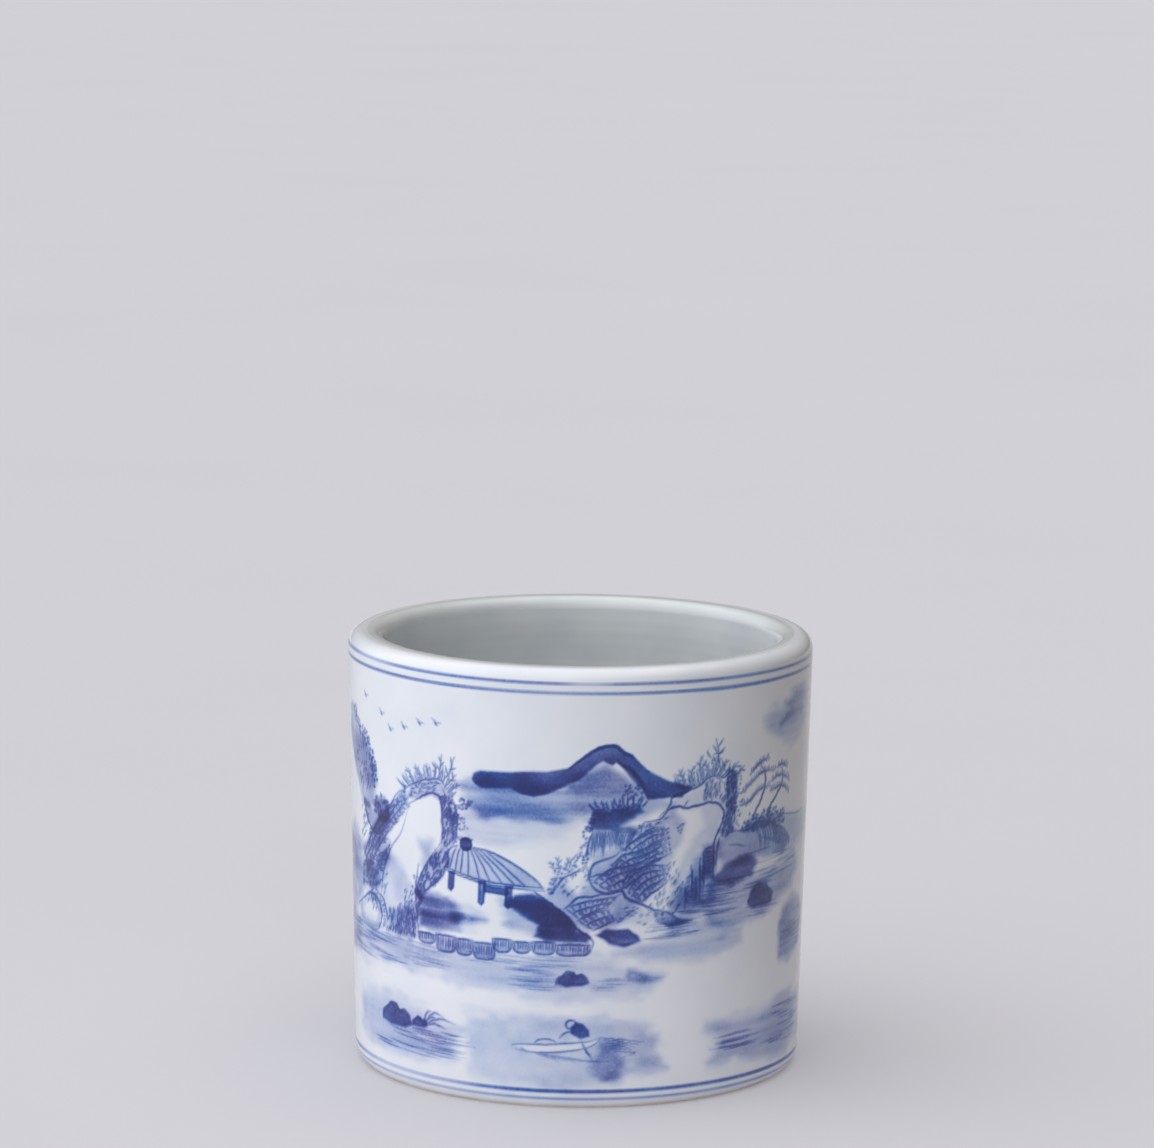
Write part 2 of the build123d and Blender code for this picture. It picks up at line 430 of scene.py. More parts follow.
# %% Far mountain
def far_mountain():
    """A long crest that rises to one peak, and its streaked face."""
    wash([(-40, 104), (-30, 107), (0, 108), (8, 112), (20, 104), (30, 98), (20, 94), (0, 93), (-32, 93.5),
          (-37, 99)], 0.34, 2.8, 0.05, flat_streaks, 0.5, dark=[(-22, 99, 10, 0.6), (-14, 95, 6, 0.3)])
    wash([(-36, 96), (-8, 96), (0, 92), (-6, 87), (-24, 85), (-38, 86), (-41, 92)], 0.15, 4, 0.0,
         flat_streaks, 0.5)
    wash([(-2, 107), (5, 112.5), (9, 112.5), (15, 108), (20, 103), (10, 101.5), (-4, 103)], 0.2, 1.5, 0.0)
    crest = [(-34.6, 105.4), (-34, 107.2), (-31.6, 108.2), (-21.6, 108.6), (-10, 109.4), (-3.4, 110.8),
             (-0.5, 113.2), (6.2, 117.5), (11.1, 118.2), (13.9, 115.8), (16.4, 114.9), (17.8, 113),
             (21.1, 110), (26.9, 106.6), (30.7, 105), (36.5, 103.2), (33, 100.4), (28.8, 100.6),
             (21.8, 100.5), (20.2, 103.4), (17, 106.4), (14, 110), (11.6, 112.6), (10.3, 111.6),
             (7.4, 113.2), (4.8, 111.4), (0, 107.4), (-4.8, 104.8), (-10, 102.4), (-14.4, 101.3),
             (-18.2, 102), (-21.6, 103.7), (-31, 103), (-33.6, 103.8)]
    wash(crest, 0.78, 0.8, 0.05, blotches, 0.1, dark=[(-30, 105, 5, 0.25), (-15, 103.4, 5, 0.25),
                                                      (10.5, 113, 3, 0.3), (27, 103.6, 6, 0.2)],
         ragged=0.35)
    stroke([(-3, 110.6), (0, 113.2), (6, 117.2), (11, 117.8), (14, 115.6), (16.3, 114.6), (18, 112.6),
            (22, 109.1)], 1.0, 0.9, start=0.4, end=0.3)
    stroke([(12, 112.6), (16, 110), (19.4, 106), (21, 103)], 1.2, 0.85, start=0.4, end=0.3)


far_mountain()
for along, up in [(-85, 125.2), (-74, 121.1), (-69, 116.8), (-62, 118.5), (-54.8, 120.8), (-48, 121.6)]:
    bird(along, up)
print("far mountain and six birds")

# %% [markdown]
# ## The arched rock
#
# A tall pierced rock leans over the hut. Its edge is one firm line, its skin is a thicket of short strokes,
# and the face inside the arch is left as bare glaze: in this manner, white is painted by going round it.

# %% Arched rock
def arched_rock():
    """The arch, its textured limb on the right and the twigs on its back."""
    crown = [(-62, 98.6), (-60, 99.8), (-55, 102.2), (-50.4, 103.4), (-46.6, 103.8), (-44.6, 101.7),
             (-42.2, 98.8)]
    wash([(-61, 96), (-59, 100), (-50, 103.2), (-46, 103), (-42.5, 98), (-40.5, 92), (-41, 84), (-47, 80),
          (-45.9, 86), (-45.8, 92), (-46.4, 97), (-50, 98.6), (-56, 96)], 0.24, 1.0, 0.25,
         dark=[(-43.5, 92, 5, 0.6)])
    stroke(crown, 0.7, 0.78, shake=0.08)
    stroke([(-42.4, 99), (-40.3, 94), (-40.4, 88), (-41.3, 83.7), (-44, 81.6)], 0.8, 0.78)
    stroke([(-60, 93.8), (-55, 96.8), (-50.5, 98.9), (-46.9, 98.2), (-46, 94), (-45.8, 88), (-46.4, 83.6),
            (-48.4, 80.6)], 0.6, 0.66)
    stroke([(-45.5, 100.8), (-43.4, 96), (-42.6, 90), (-43.2, 84)], 0.45, 0.6)
    skin([(-46.3, 98), (-43, 99), (-40.6, 93), (-40.8, 85), (-44.5, 81.5), (-45.7, 86)], 70, 70, 2.0, 0.45,
         0.72)
    skin([(-60, 96), (-58, 99.6), (-50, 102.8), (-46.5, 102.6), (-46.6, 98.6), (-50, 99.3), (-56, 97)], 42,
         20, 1.5)
    grass(crown, 26, 4.6, -8, 50, 0.5, 0.72)
    for along, up, long, turn in [(-57.5, 101, 6, -38), (-53.5, 102.6, 6, -34), (-50.5, 103.4, 5, -18),
                                  (-48.8, 103.6, 5.5, -2), (-47, 103.8, 8, 8), (-45.6, 102.8, 10, 26),
                                  (-44.4, 101.5, 6, 42), (-43.2, 100, 5, 55)]:
        twig(along, up, long, turn)
    dots([(-58, 99.5), (-58, 103), (-51, 104.6), (-50, 103)], 26, 0.8, 0.72)
    dots([(-43, 99), (-41.5, 100.5), (-39, 92), (-39.6, 84), (-41.6, 84)], 44, 0.9, 0.75)
    dots([(-40, 95), (-39, 98.6), (-35.2, 98.8), (-34.8, 97), (-37, 95)], 26, 0.85, 0.7)
    twig(-40, 96, 5.4, 68, 0.5, 0.62)
    dots([(-40, 88), (-39, 92.5), (-36.2, 91.6), (-36.2, 89)], 14, 0.7, 0.6)


def cliff_edge():
    """The dark cliff on the far left, its bush and the slanting shelves that lead to the arch."""
    wash([(-104, 119), (-100, 121), (-96.7, 120), (-91, 114), (-85, 112), (-80, 106), (-78.4, 101),
          (-78.4, 94), (-84, 89), (-88, 90), (-93, 95), (-99, 103), (-104, 111)], 0.34, 2.4, 0.0, blotches,
         0.4, dark=[(-88, 107, 8, 0.5), (-84, 99, 6, 0.4)])
    dots([(-99, 117), (-96, 121), (-91, 116), (-84, 113), (-78, 106), (-77, 96), (-80, 96), (-84, 108)], 90,
         1.1, 0.7)
    skin([(-95, 112), (-86, 110), (-80, 104), (-80, 96), (-88, 93), (-95, 102)], 40, 60, 1.6, 0.5, 0.5)
    wash([(-80, 90), (-78, 93.4), (-73, 94), (-69.6, 91), (-70.6, 87), (-76, 86)], 0.55, 1.6, 0.0)
    dots([(-80, 88), (-79, 93), (-74.5, 95), (-69.5, 92), (-70, 86.5), (-76, 84.5)], 50, 1.0, 0.66)
    for away in (0, 3.4):
        stroke([(-90, 71 - away), (-84, 78 - away), (-77, 86 - away), (-70, 91.5 - away),
                (-65.9, 96.4 - away), (-60, 99.4 - away)], 0.6, 0.66)
    strata([(-88, 73), (-80, 82.5), (-70, 91.5), (-62, 98.5)], [(-86, 66), (-77, 77), (-68, 86),
                                                                (-60.5, 93)], 3, 20, 0.45, 0.5)
    wash([(-90, 74), (-78, 86), (-62, 99), (-60, 94), (-70, 84), (-86, 66)], 0.34, 1.6, 0.1)
    skin([(-88, 72), (-76, 86), (-62, 98), (-60, 93), (-70, 82), (-84, 64)], 110, 12, 2.0, 0.42, 0.6, 0.1)
    wash([(-88, 91), (-86, 86), (-80, 81), (-74, 83), (-70, 87), (-78, 88)], 0.3, 1.4, 0.0)
    stroke([(-88, 90), (-85.6, 85), (-80, 81.4), (-76, 81.8), (-70, 86.6)], 0.7, 0.7)
    wash([(-90, 70), (-80, 72), (-70, 80), (-72, 70), (-78, 63), (-90, 62)], 0.24, 2.0, 0.0, blotches, 0.4)
    skin([(-90, 70), (-80, 72), (-72, 78), (-73, 70), (-78, 63), (-90, 62)], 60, 8, 2.2, 0.42, 0.5, 0.1)
    stroke([(-87, 91), (-85.6, 86), (-81, 81), (-77.5, 80)], 0.7, 0.7)
    skin([(-90, 88), (-86, 87), (-80, 81), (-84, 76), (-91, 78)], 30, 35, 2.4, 0.5, 0.62)
    wash([(-112, 78), (-100, 82), (-90, 76), (-88, 62), (-94, 54), (-112, 54)], 0.26, 4.0, 0.0, blotches,
         0.5)
    stroke([(-76, 62), (-74, 70), (-69.5, 78), (-64, 84), (-60.5, 92)], 0.5, 0.5)
    skin([(-86, 64), (-76, 74), (-70, 79), (-71, 66), (-76, 56), (-86, 56)], 60, 50, 2.2, 0.45, 0.58)


def leaning_limb():
    """The textured foot of the arch, behind the hut."""
    limb = [(-57.4, 56), (-57, 66), (-54.6, 72), (-51.6, 76.6), (-48.4, 80.8), (-43.4, 81.4), (-43, 76.6),
            (-46, 72), (-49.6, 69), (-53, 66)]
    wash(limb, 0.26, 1.2, 0.15, dark=[(-48, 76, 5, 0.5)])
    skin(limb, 90, 62, 2.1, 0.5, 0.72)
    stroke([(-57.3, 60), (-57, 66), (-55.4, 70.6), (-51.6, 76.6), (-48.4, 80.8)], 0.7, 0.74)
    stroke([(-53.4, 66.4), (-49.6, 69.4), (-46, 72.6), (-43.4, 77)], 0.6, 0.66)
    wash([(-86, 58), (-85, 72), (-74, 80), (-67, 75), (-60, 68), (-58, 56), (-72, 54)], 0.17, 3.0, 0.0,
         blotches, 0.5)
    skin([(-66, 58), (-62, 66), (-58, 68), (-57.6, 56), (-62, 53)], 40, 55, 2.0, 0.5, 0.6)
    wash([(-56, 83), (-50, 83), (-49, 76), (-54, 75)], 0.24, 2.4, 0.1)
    dots([(-60, 60), (-58, 72), (-54, 71), (-56, 58)], 26, 0.8, 0.7)


arched_rock()
cliff_edge()
leaning_limb()
print("arched rock and cliff")

# %% [markdown]
# ## The hut on its mound
#
# The hut's straw roof is a low cone seen from a little below, so its ribs fan out from the knob, and three
# short posts carry it. The mound under it is two dark dry-brushed washes round a white middle. Scalloped
# stones edge the bank.

# %% Hut, mound and stones
def hut():
    """A roof with ribs and a double eave, its knob, posts and lintel."""
    knob = (-37, 84)
    right = [(-34.1, 83.2), (-28.8, 82.5), (-21.6, 79.6), (-13.9, 74.8), (-11.2, 71.9)]
    left = [(-40, 83.2), (-42.3, 82.3), (-44.8, 79.5), (-46, 76.6)]
    eave = [(-44.8, 75.7), (-38.9, 74.3), (-31.2, 72.9), (-24, 72.3), (-11, 71.8)]
    wash([*right, *eave[::-1], (-44.6, 77), (-42, 81.8), (-38, 83)], 0.2, 0.8, 0.2,
         dark=[(-18, 75, 6, 0.5)])
    stroke(right, 0.62, 0.75, start=0.8, end=0.6, shake=0.03)
    stroke(left, 0.62, 0.75, start=0.8, end=0.6, shake=0.03)
    stroke(eave, 0.6, 0.75, start=0.8, end=0.7, shake=0.05)
    stroke([(x + 0.4, y - 0.85) for x, y in eave], 0.6, 0.75, start=0.8, end=0.7, shake=0.05)
    for foot, top in [(-43, -40.2), (-41, -39), (-39, -37.9), (-36.1, -36.4), (-32.2, -35.4),
                      (-28.6, -34.4), (-24.4, -33.4), (-20.4, -32), (-17, -30)]:
        level = float(np.interp(foot, [p[0] for p in eave], [p[1] for p in eave]))
        stroke([(top, 83 - 0.06 * abs(top + 37)), ((foot + top) / 2 + 0.2, level + 5.6),
                (foot, level + 0.3)], 0.5, 0.68, start=0.7, end=0.8, shake=0.04)
    wash([(knob[0] + 2.3 * math.cos(t), knob[1] + 2.2 * math.sin(t)) for t in np.arange(0, 6.28, 0.5)],
         0.85, 0.5, 0.2, ragged=0.4)
    grass([(knob[0] - 2, knob[1] + 1.2), (knob[0] + 2, knob[1] + 1.2)], 9, 1.7, 0, 70, 0.4, 0.7)
    for foot, top, low in [(-42.6, 74.6, 68), (-31.6, 72.6, 64.6), (-22.4, 71.8, 64.4)]:
        wash([(foot - 0.9, top), (foot + 1.6, top), (foot + 1.1, low + 1.2), (foot, low),
              (foot - 1.2, low + 1)], 0.62, 0.6, 0.3, upright_streaks, 0.5, ragged=0.3)
    wash([(-30.6, 71.6), (-23, 71), (-22, 69.6), (-23, 68.6), (-30.6, 69.2)], 0.66, 0.6, 0.3, ragged=0.3)


def mound():
    """Two dark dry-brushed sides, a white middle, and a rim line."""
    stroke([(-55.9, 75), (-57.2, 68), (-57.4, 62.5), (-56.6, 57), (-56.2, 51.5)], 0.75, 0.66)
    wash([(-56.6, 65.5), (-48, 66.2), (-41, 65), (-38, 61), (-40, 56.6), (-46, 55), (-55.6, 55)], 0.56, 2.6,
         0.0, flat_streaks, 0.8, dark=[(-51, 59.6, 8, 0.35)])
    wash([(-44, 65.6), (-33, 63), (-30, 60.4), (-34, 57.4), (-42, 56)], 0.3, 2.6, 0.0, flat_streaks, 1.3)
    wash([(-22, 66), (-20, 69), (-14.5, 70), (-9.5, 67.5), (-4, 63.2), (0, 58.6), (4, 56.4), (3.4, 54.2),
          (-10, 54.6), (-14, 56), (-12, 60), (-18, 63)], 0.8, 1.5, 0.0, flat_streaks, 0.4,
         dark=[(-8, 61, 9, 0.3), (-12, 66, 5, 0.2)])
    wash([(-25, 68), (-12, 68), (-8, 56), (-22, 57)], 0.26, 3.0, 0.0, flat_streaks, 1.4)
    stroke([(-14, 71), (-10, 67.7), (-4, 63.2), (0, 58.7), (3.4, 56.6), (4.9, 54.4), (4, 51.4), (2, 50.3)],
           0.8, 0.85)


def bank_stones():
    """Scalloped stones along the water's edge, each hatched upright."""
    lobes = [(-56.4, -48.8, 52.8, 49.8), (-48.6, -41.0, 53.2, 48.0), (-40.8, -34.6, 52.8, 47.9),
             (-34.4, -26.8, 52.4, 47.3), (-27.6, -21.3, 54.3, 50.2), (-21, -14.8, 53.8, 50.4),
             (-14.6, -7.2, 54.2, 50.3), (-7, 4, 53.6, 50.2)]
    for left, right, top, low in lobes:
        under = [(left, top), (left + 0.3, low + 1.2), (left + 1.6, low + 0.15), ((left + right) / 2, low),
                 (right - 1.4, low + 0.25), (right - 0.2, low + 1.4), (right, top)]
        wash([*under, (right, top + 0.6), (left, top + 0.6)], 0.24, 0.7, 0.3, ragged=0.4)
        stroke([(left - 0.3, top), ((left + right) / 2, top + 0.2), (right + 0.3, top)], 0.6, 0.66,
               shake=0.05)
        stroke(under, 0.55, 0.7, start=0.8, end=0.7, shake=0.04)
        rungs([(left + 0.4, top), (right - 0.4, top)], [(left + 0.6, low + 0.9), (right - 0.6, low + 0.9)],
              int((right - left) / 1.0), 0.5, 0.62, loose=0.15)


mound()
hut()
bank_stones()
print("hut, mound and bank")

# %% [markdown]
# ## The great rocks
#
# The right-hand cliff is a white face wrapped in slanting shelves. Each shelf is a band of strata: long
# lines with short joints between them, closer where the rock turns away from the light. A thicket of dark
# leaves sits in the hollow on the left, and bare twigs stand on the crown.

# %% Shelves of rock
def shelves():
    """Six slanting bands of strata, the white face they wrap, and the lines that part them."""
    wash([(0, 70), (5, 81), (13, 84), (20, 91), (30, 96), (34, 92), (32, 84), (28, 76), (22, 68), (12, 60),
          (-2, 58), (-12, 66), (-6, 76)], 0.3, 2.4, 0.0, blotches, 0.3, dark=[(15, 78, 7, 0.5),
                                                                              (22, 72, 7, 0.5)])
    wash([(28, 60), (31, 74), (36, 70), (44, 78), (47, 84), (46, 66), (36, 60)], 0.2, 2.8, 0.0, blotches,
         0.4)
    skin([(20, 66), (24, 76), (31, 80), (35, 72), (33, 63), (26, 62)], 60, 60, 1.7, 0.45, 0.62)
    skin([(12, 61), (16, 68), (24, 65), (30, 62), (24, 59.4)], 26, 15, 1.6, 0.42, 0.5)
    skin([(-6, 72), (-2, 78), (6, 80), (4, 74), (-2, 68)], 24, 40, 1.5, 0.42, 0.55)
    skin([(16, 86), (21, 90), (28, 92), (31, 84), (26, 80)], 22, 50, 1.6, 0.42, 0.6)
    wash([(19.6, 91), (26, 94), (30, 99.5), (44, 105.6), (49, 101), (49, 92), (46, 84), (46, 66), (34, 62),
          (30, 74), (34, 82), (42, 90), (40, 96), (32, 96.5), (27, 91)], 0.12, 2.0, 0.1)
    strata([(14.4, 84.6), (18, 87.6), (23, 90.6), (27.4, 91.2)], [(18.6, 80.6), (22, 82.6), (27.8, 86)], 3,
           12, 0.6, 0.74)
    strata([(10.4, 79.4), (14, 82.6), (20.6, 84.2), (29, 88)], [(16.8, 76.2), (21, 78.6), (30, 82.6)], 3,
           14, 0.6, 0.74)
    strata([(5, 74.2), (10, 78), (16, 79), (24, 80.6)], [(9.6, 71), (14.4, 72), (19, 75.4), (25, 78)], 3,
           14, 0.6, 0.74)
    strata([(14.6, 72), (18, 77.2), (23, 78.8), (29, 78.6)], [(19.6, 66.6), (23, 69.6), (27, 72),
                                                              (30, 74.6)], 4, 13, 0.6, 0.74)
    strata([(-4, 65.6), (2, 67.6), (10, 69), (13.6, 70)], [(0.4, 62), (4, 64.2), (9.6, 66)], 2, 11, 0.5,
           0.62)
    strata([(0, 61.6), (5, 64), (10, 65.2)], [(4.8, 58.4), (8, 60), (12, 61.8)], 2, 8, 0.5, 0.6)
    stroke([(13.9, 84.2), (17, 86.9), (22, 89.2), (27.4, 91.2)], 0.75, 0.78)
    stroke([(1.9, 80.6), (3.2, 77.4), (3.4, 74.8), (4.2, 79), (7, 81), (12, 82.7), (14, 85.4)], 0.6, 0.7)
    stroke([(3.2, 75.4), (6.4, 76.6), (9.6, 76.4), (12, 79.6), (13.6, 83.6)], 0.6, 0.72)
    stroke([(3.4, 74.8), (5.4, 71.8), (9, 70.2), (14, 71.2), (15, 69), (20, 66.6), (25, 64.4), (30, 63),
            (33, 60.5)], 0.75, 0.82, start=0.6)
    stroke([(-4.6, 65.4), (-2.6, 66.8), (0, 69), (4, 69.4), (9, 70.4)], 0.6, 0.72)
    stroke([(14.2, 71.4), (14.8, 75), (17.4, 77.6), (20.2, 78.2), (24, 80.4), (30, 82.6)], 0.8, 0.82)
    stroke([(19.7, 89.4), (20.6, 92.8), (25.9, 93.6), (28.6, 96.6), (32.2, 97.6), (33.8, 96.8),
            (39.8, 97.1), (43.7, 97.8), (48, 95.9), (49.1, 92.1), (47, 88.2), (45.6, 84.4), (45.2, 79),
            (45.4, 74.8)], 0.7, 0.8)
    stroke([(25.6, 94.4), (29, 97.8), (30, 100.4), (35.5, 102.3), (39.8, 103.6), (42.2, 105.5), (44.6, 106),
            (48, 104), (49.6, 101)], 0.65, 0.8)
    stroke([(33.4, 96.8), (34.8, 98.2), (35.8, 99.2)], 0.5, 0.6)
    for y in (91.4, 88.6, 85.6):
        skin([(21, y + 1.6), (29, y + 3), (30, y + 1), (22, y - 0.6)], 10, 20, 1.8, 0.42, 0.55)


def cliff_foot():
    """Upright cracks where the face drops to the water, its shaded recess, and small stones."""
    wash([(41, 84), (45.4, 84), (45.4, 73), (41, 73)], 0.34, 1.2, 0.0, blotches, 0.4)
    wash([(30, 68), (36, 72), (37.6, 80), (41, 82), (41.4, 66), (36, 63.8), (30, 63.6)], 0.2, 1.8, 0.0,
         blotches, 0.4)
    for x, top, low in [(37.2, 78, 66), (40.2, 80, 66), (41.6, 82, 68), (45.3, 84, 73), (35, 72, 64),
                        (38.8, 74, 65)]:
        stroke([(x, top), (x + 0.3, (top + low) / 2), (x + 0.1, low)], 0.6, 0.72)
    rungs([(41.8, 83), (41.8, 74)], [(45, 83.4), (45, 74.4)], 12, 0.5, 0.68)
    rungs([(35.2, 74), (35.2, 65)], [(37.2, 75.4), (37.2, 66)], 10, 0.42, 0.55)
    rungs([(37.6, 72), (37.6, 66)], [(40, 74), (40, 67)], 8, 0.42, 0.58)
    wash([(24, 64), (30, 63.5), (34, 60.4), (38, 60), (30, 58.6), (26, 60)], 0.34, 1.0, 0.2, flat_streaks)
    wash([(5.3, 57), (9, 58.4), (16, 58.9), (19, 56.6), (20.4, 54.4), (15, 53.2), (10, 53.8)], 0.66, 1.0,
         0.25, flat_streaks, 0.4, dark=[(9, 57, 3, 0.3)])
    wash([(11, 68), (15, 70.4), (20, 65), (26, 62), (22, 59.6), (12, 60.2)], 0.1, 2.0, 0.1)
    dots([(20, 59), (20, 66), (24, 64), (24, 58)], 3, 0.6, 0.7)


# %% Thicket, twigs and pines
def thicket():
    """Dark leaves in the hollow, spikes on top, and the upright strokes below them."""
    leaves = [(3, 93), (5, 96.4), (10, 97.4), (15, 98.6), (19.4, 98.2), (20, 96.4), (17, 94), (14, 92),
              (19, 91.4), (18.6, 89.6), (5, 90), (3.2, 91)]
    wash(leaves, 0.66, 1.7, 0.0, blotches, 0.4, dark=[(8, 93.6, 6, 0.5)])
    dots([(2, 91), (4, 96.6), (9, 98.6), (4.6, 94), (3.6, 90)], 34, 0.9, 0.78)
    dots([(5, 96), (15, 99.2), (20, 98.6), (15, 97), (8, 95)], 30, 0.9, 0.8)
    grass([(5, 97), (10, 98), (16, 98.8), (21, 98.2)], 13, 3.4, -4, 40, 0.5, 0.75)
    rungs([(4, 90.2), (18, 90)], [(3.4, 82), (16.4, 86)], 22, 0.6, 0.62)
    wash([(3.6, 90), (18.4, 90), (16, 85.5), (9, 82.6), (3, 81)], 0.16, 1.2, 0.1, upright_streaks)
    stroke([(4.4, 91), (3, 86), (2.4, 80.6)], 0.8, 0.8)
    dots([(0.6, 80), (1.2, 90), (3, 92), (3.4, 80)], 30, 0.85, 0.75)
    dots([(14, 101), (14, 105), (18, 105.4), (20, 102), (17, 100)], 24, 0.8, 0.7)
    dots([(19, 89), (19, 92), (26, 92.6), (24, 90)], 14, 0.9, 0.66)
    dots([(30, 88), (31, 92), (34, 93), (34, 89)], 8, 0.9, 0.5)
    for along, up, long, turn in [(-7.4, 77, 4, -24), (-6, 77.4, 5, -4), (-4.6, 78, 4.4, 22),
                                  (-1, 80.4, 4, 26)]:
        twig(along, up, long, turn, 0.5, 0.62)
    dots([(-8, 76), (-7, 79.4), (-2, 80), (0.6, 79), (1, 76.6), (-4, 75)], 30, 0.85, 0.68)
    stroke([(-8.4, 70.8), (-6.6, 72.8), (-4.4, 75.8), (-2.6, 76.4), (0.6, 77.8), (2, 77)], 0.7, 0.75)
    dots([(-9.4, 70), (-9, 75), (-5, 76), (-8, 70)], 26, 0.8, 0.72)
    stroke([(-3, 77.6), (-2.2, 81), (0, 83.6)], 0.5, 0.6)


def crown():
    """Twigs and leaves on the crown of the great rock, and the dark thicket behind its shoulder."""
    wash([(49.5, 103), (51, 108), (53.6, 106), (54, 96), (53.6, 88), (50, 86), (47.4, 88), (49.6, 93)], 0.4,
         1.4, 0.1)
    skin([(47, 88), (50.4, 95), (50, 104), (53, 109), (54.6, 104), (54, 88), (50, 86)], 80, 60, 2.0, 0.5,
         0.72)
    skin([(41, 98.4), (42, 105), (46, 105), (49.4, 101), (49.8, 97), (46, 98.2)], 46, 75, 2.2, 0.42, 0.66)
    dots([(53, 90), (53.6, 107), (56, 108), (57, 96), (56, 88)], 40, 0.8, 0.66)
    grass([(32.6, 103.2), (37, 103.4), (40.4, 104.4), (44, 106.4), (48, 105)], 34, 5.4, 0, 45, 0.5, 0.76)
    for along, up, long, turn in [(34, 103, 6.6, -22), (37.4, 104, 6, -6), (40.6, 105, 8, -8),
                                  (44.6, 106.4, 11.6, 4), (46.4, 105.8, 6, 30), (48, 105, 8, 55),
                                  (50.4, 105, 7.6, 68), (43, 106, 6, -24)]:
        twig(along, up, long, turn, 0.6, 0.76, 4)
    stroke([(43.6, 111.8), (42.4, 113.4), (42.2, 114.8)], 0.6, 0.74)
    stroke([(44.4, 113), (47.4, 113.4), (49, 115.2)], 0.6, 0.74)
    dots([(32.4, 103), (33.4, 106), (37, 106), (38, 103.6)], 22, 0.8, 0.76)
    dots([(42, 108), (44, 112), (49, 111), (49, 107)], 30, 0.9, 0.76)


def pine(trunk, branches):
    """An old pine: a bent trunk, level branches, and combs of needles above each branch."""
    stroke(trunk, 0.95, 0.74, start=1.0, end=0.6)
    for branch in branches:
        stroke(branch, 1.0, 0.68, start=0.6, end=0.4)
        branch = np.asarray(branch, float)
        rungs(branch, branch + (0.2, 1.7), max(5, int(np.ptp(branch[:, 0]) * 1.1)), 0.6, 0.64)
        rungs(branch, branch + (0.5, -1.0), max(4, int(np.ptp(branch[:, 0]) * 0.9)), 0.55, 0.56)


def pines():
    """Two pines that lean together on the low hills."""
    pine([(62, 90.6), (65.9, 95.9), (67.8, 100.2), (67.5, 104.1), (64.9, 107.2)], [[(60.1, 104.8),
                                                                                    (64.4, 107.7),
                                                                                    (69.7, 108.9)],
                                                                                   [(56.7, 99.3),
                                                                                    (63.4, 103.6),
                                                                                    (67.8, 104.8),
                                                                                    (73.5, 104.3)],
                                                                                   [(56.2, 95.4),
                                                                                    (59.6, 95.7),
                                                                                    (64.4, 99),
                                                                                    (70.7, 99.7)]])
    pine([(69.7, 91.6), (74, 95.4), (78.1, 99.7), (77.6, 104.5)], [[(71.1, 100.9), (75.5, 102.1),
                                                                    (79.8, 101.2), (83.6, 99.3)],
                                                                   [(74.5, 104.8), (77.4, 105.5),
                                                                    (81.7, 104.1)], [(70.7, 97.8),
                                                                                     (75, 98.5),
                                                                                     (78.8, 98.3),
                                                                                     (83.1, 95.4)]])


def low_hills():
    """Low wooded hills behind the water, in pale wash and hatching."""
    back = [(50, 85.8), (52.9, 87.2), (59, 86.8), (64, 88.6), (70, 88), (74.5, 86), (79.8, 84), (85.5, 80)]
    wash([*back, (80, 76), (64, 77), (50, 76), (46.6, 84)], 0.32, 1.8, 0.05, dark=[(64, 79, 10, 0.3)])
    stroke(back, 0.6, 0.66)
    wash([(57, 87.6), (60, 90.6), (70, 91.4), (79, 90), (80, 86.4), (70, 86.8), (60, 86.4)], 0.42, 1.6, 0.0)
    dots([(56, 87), (60, 91.6), (70, 92.6), (80, 91), (81, 86), (70, 86), (60, 86)], 100, 0.9, 0.74)
    wash([(74, 86), (80, 89.4), (88, 87.6), (98, 87), (106, 86), (104, 78), (84, 76), (76, 80)], 0.24, 2.4,
         0.0)
    stroke([(72, 86.4), (77, 89), (82, 88.4), (90, 87.2), (100, 87)], 0.6, 0.5)
    rungs([(62, 87), (70, 87.4), (80, 83), (85, 80)], [(66, 79), (73, 78.4), (81, 77), (86, 76.4)], 17, 0.5,
          0.52, bow=0.12)
    rungs([(63, 84), (70, 82), (80, 79)], [(84, 80), (83, 78), (85, 77)], 5, 0.4, 0.4)
    wash([(45.6, 72.4), (49, 75.6), (55, 77.6), (60, 78.4), (65, 76), (62, 71.6), (53, 69.6)], 0.72, 1.8,
         0.0, flat_streaks, 0.2)
    stroke([(46.6, 75), (46.8, 82), (47.8, 86), (50, 86.2)], 0.55, 0.6)
    stroke([(51.6, 83), (55.6, 82.4), (58.6, 81.6)], 0.45, 0.5)


shelves()
cliff_foot()
thicket()
crown()
low_hills()
pines()
print("great rocks, twigs and pines")

# %% [markdown]
# ## Water, islets and the boat
#
# The lake is mostly untouched glaze. Broad pale washes with ragged ends say where water lies, and level
# lines, pulled fast, give it its surface. One small boat carries a resting boatman, who is only a few
# touches of the brush.

# %% Water and islets
def islet(along, up, size=1.0, ink=0.5):
    """A dark lobed rock that stands in water, with two smaller lobes."""
    shape = [(-8, -3), (-7.6, 0), (-5, 1.6), (-2.6, 3.4), (0.6, 3.2), (2, 1.6), (4.6, 2.4), (7, 0.8),
             (7.8, -2), (5, -3.6), (-3, -3.8)]
    wash([(along + size * x, up + size * y) for x, y in shape], ink, 1.0, 0.35,
         dark=[(along, up, 4 * size, 0.3)])
    stroke([(along + size * x, up + size * y) for x, y in shape[:9]], 0.6, ink * 1.15)
    stroke([(along - 1.6 * size, up + 2.6 * size), (along + 0.4 * size, up + 0.2 * size)], 0.5, ink)


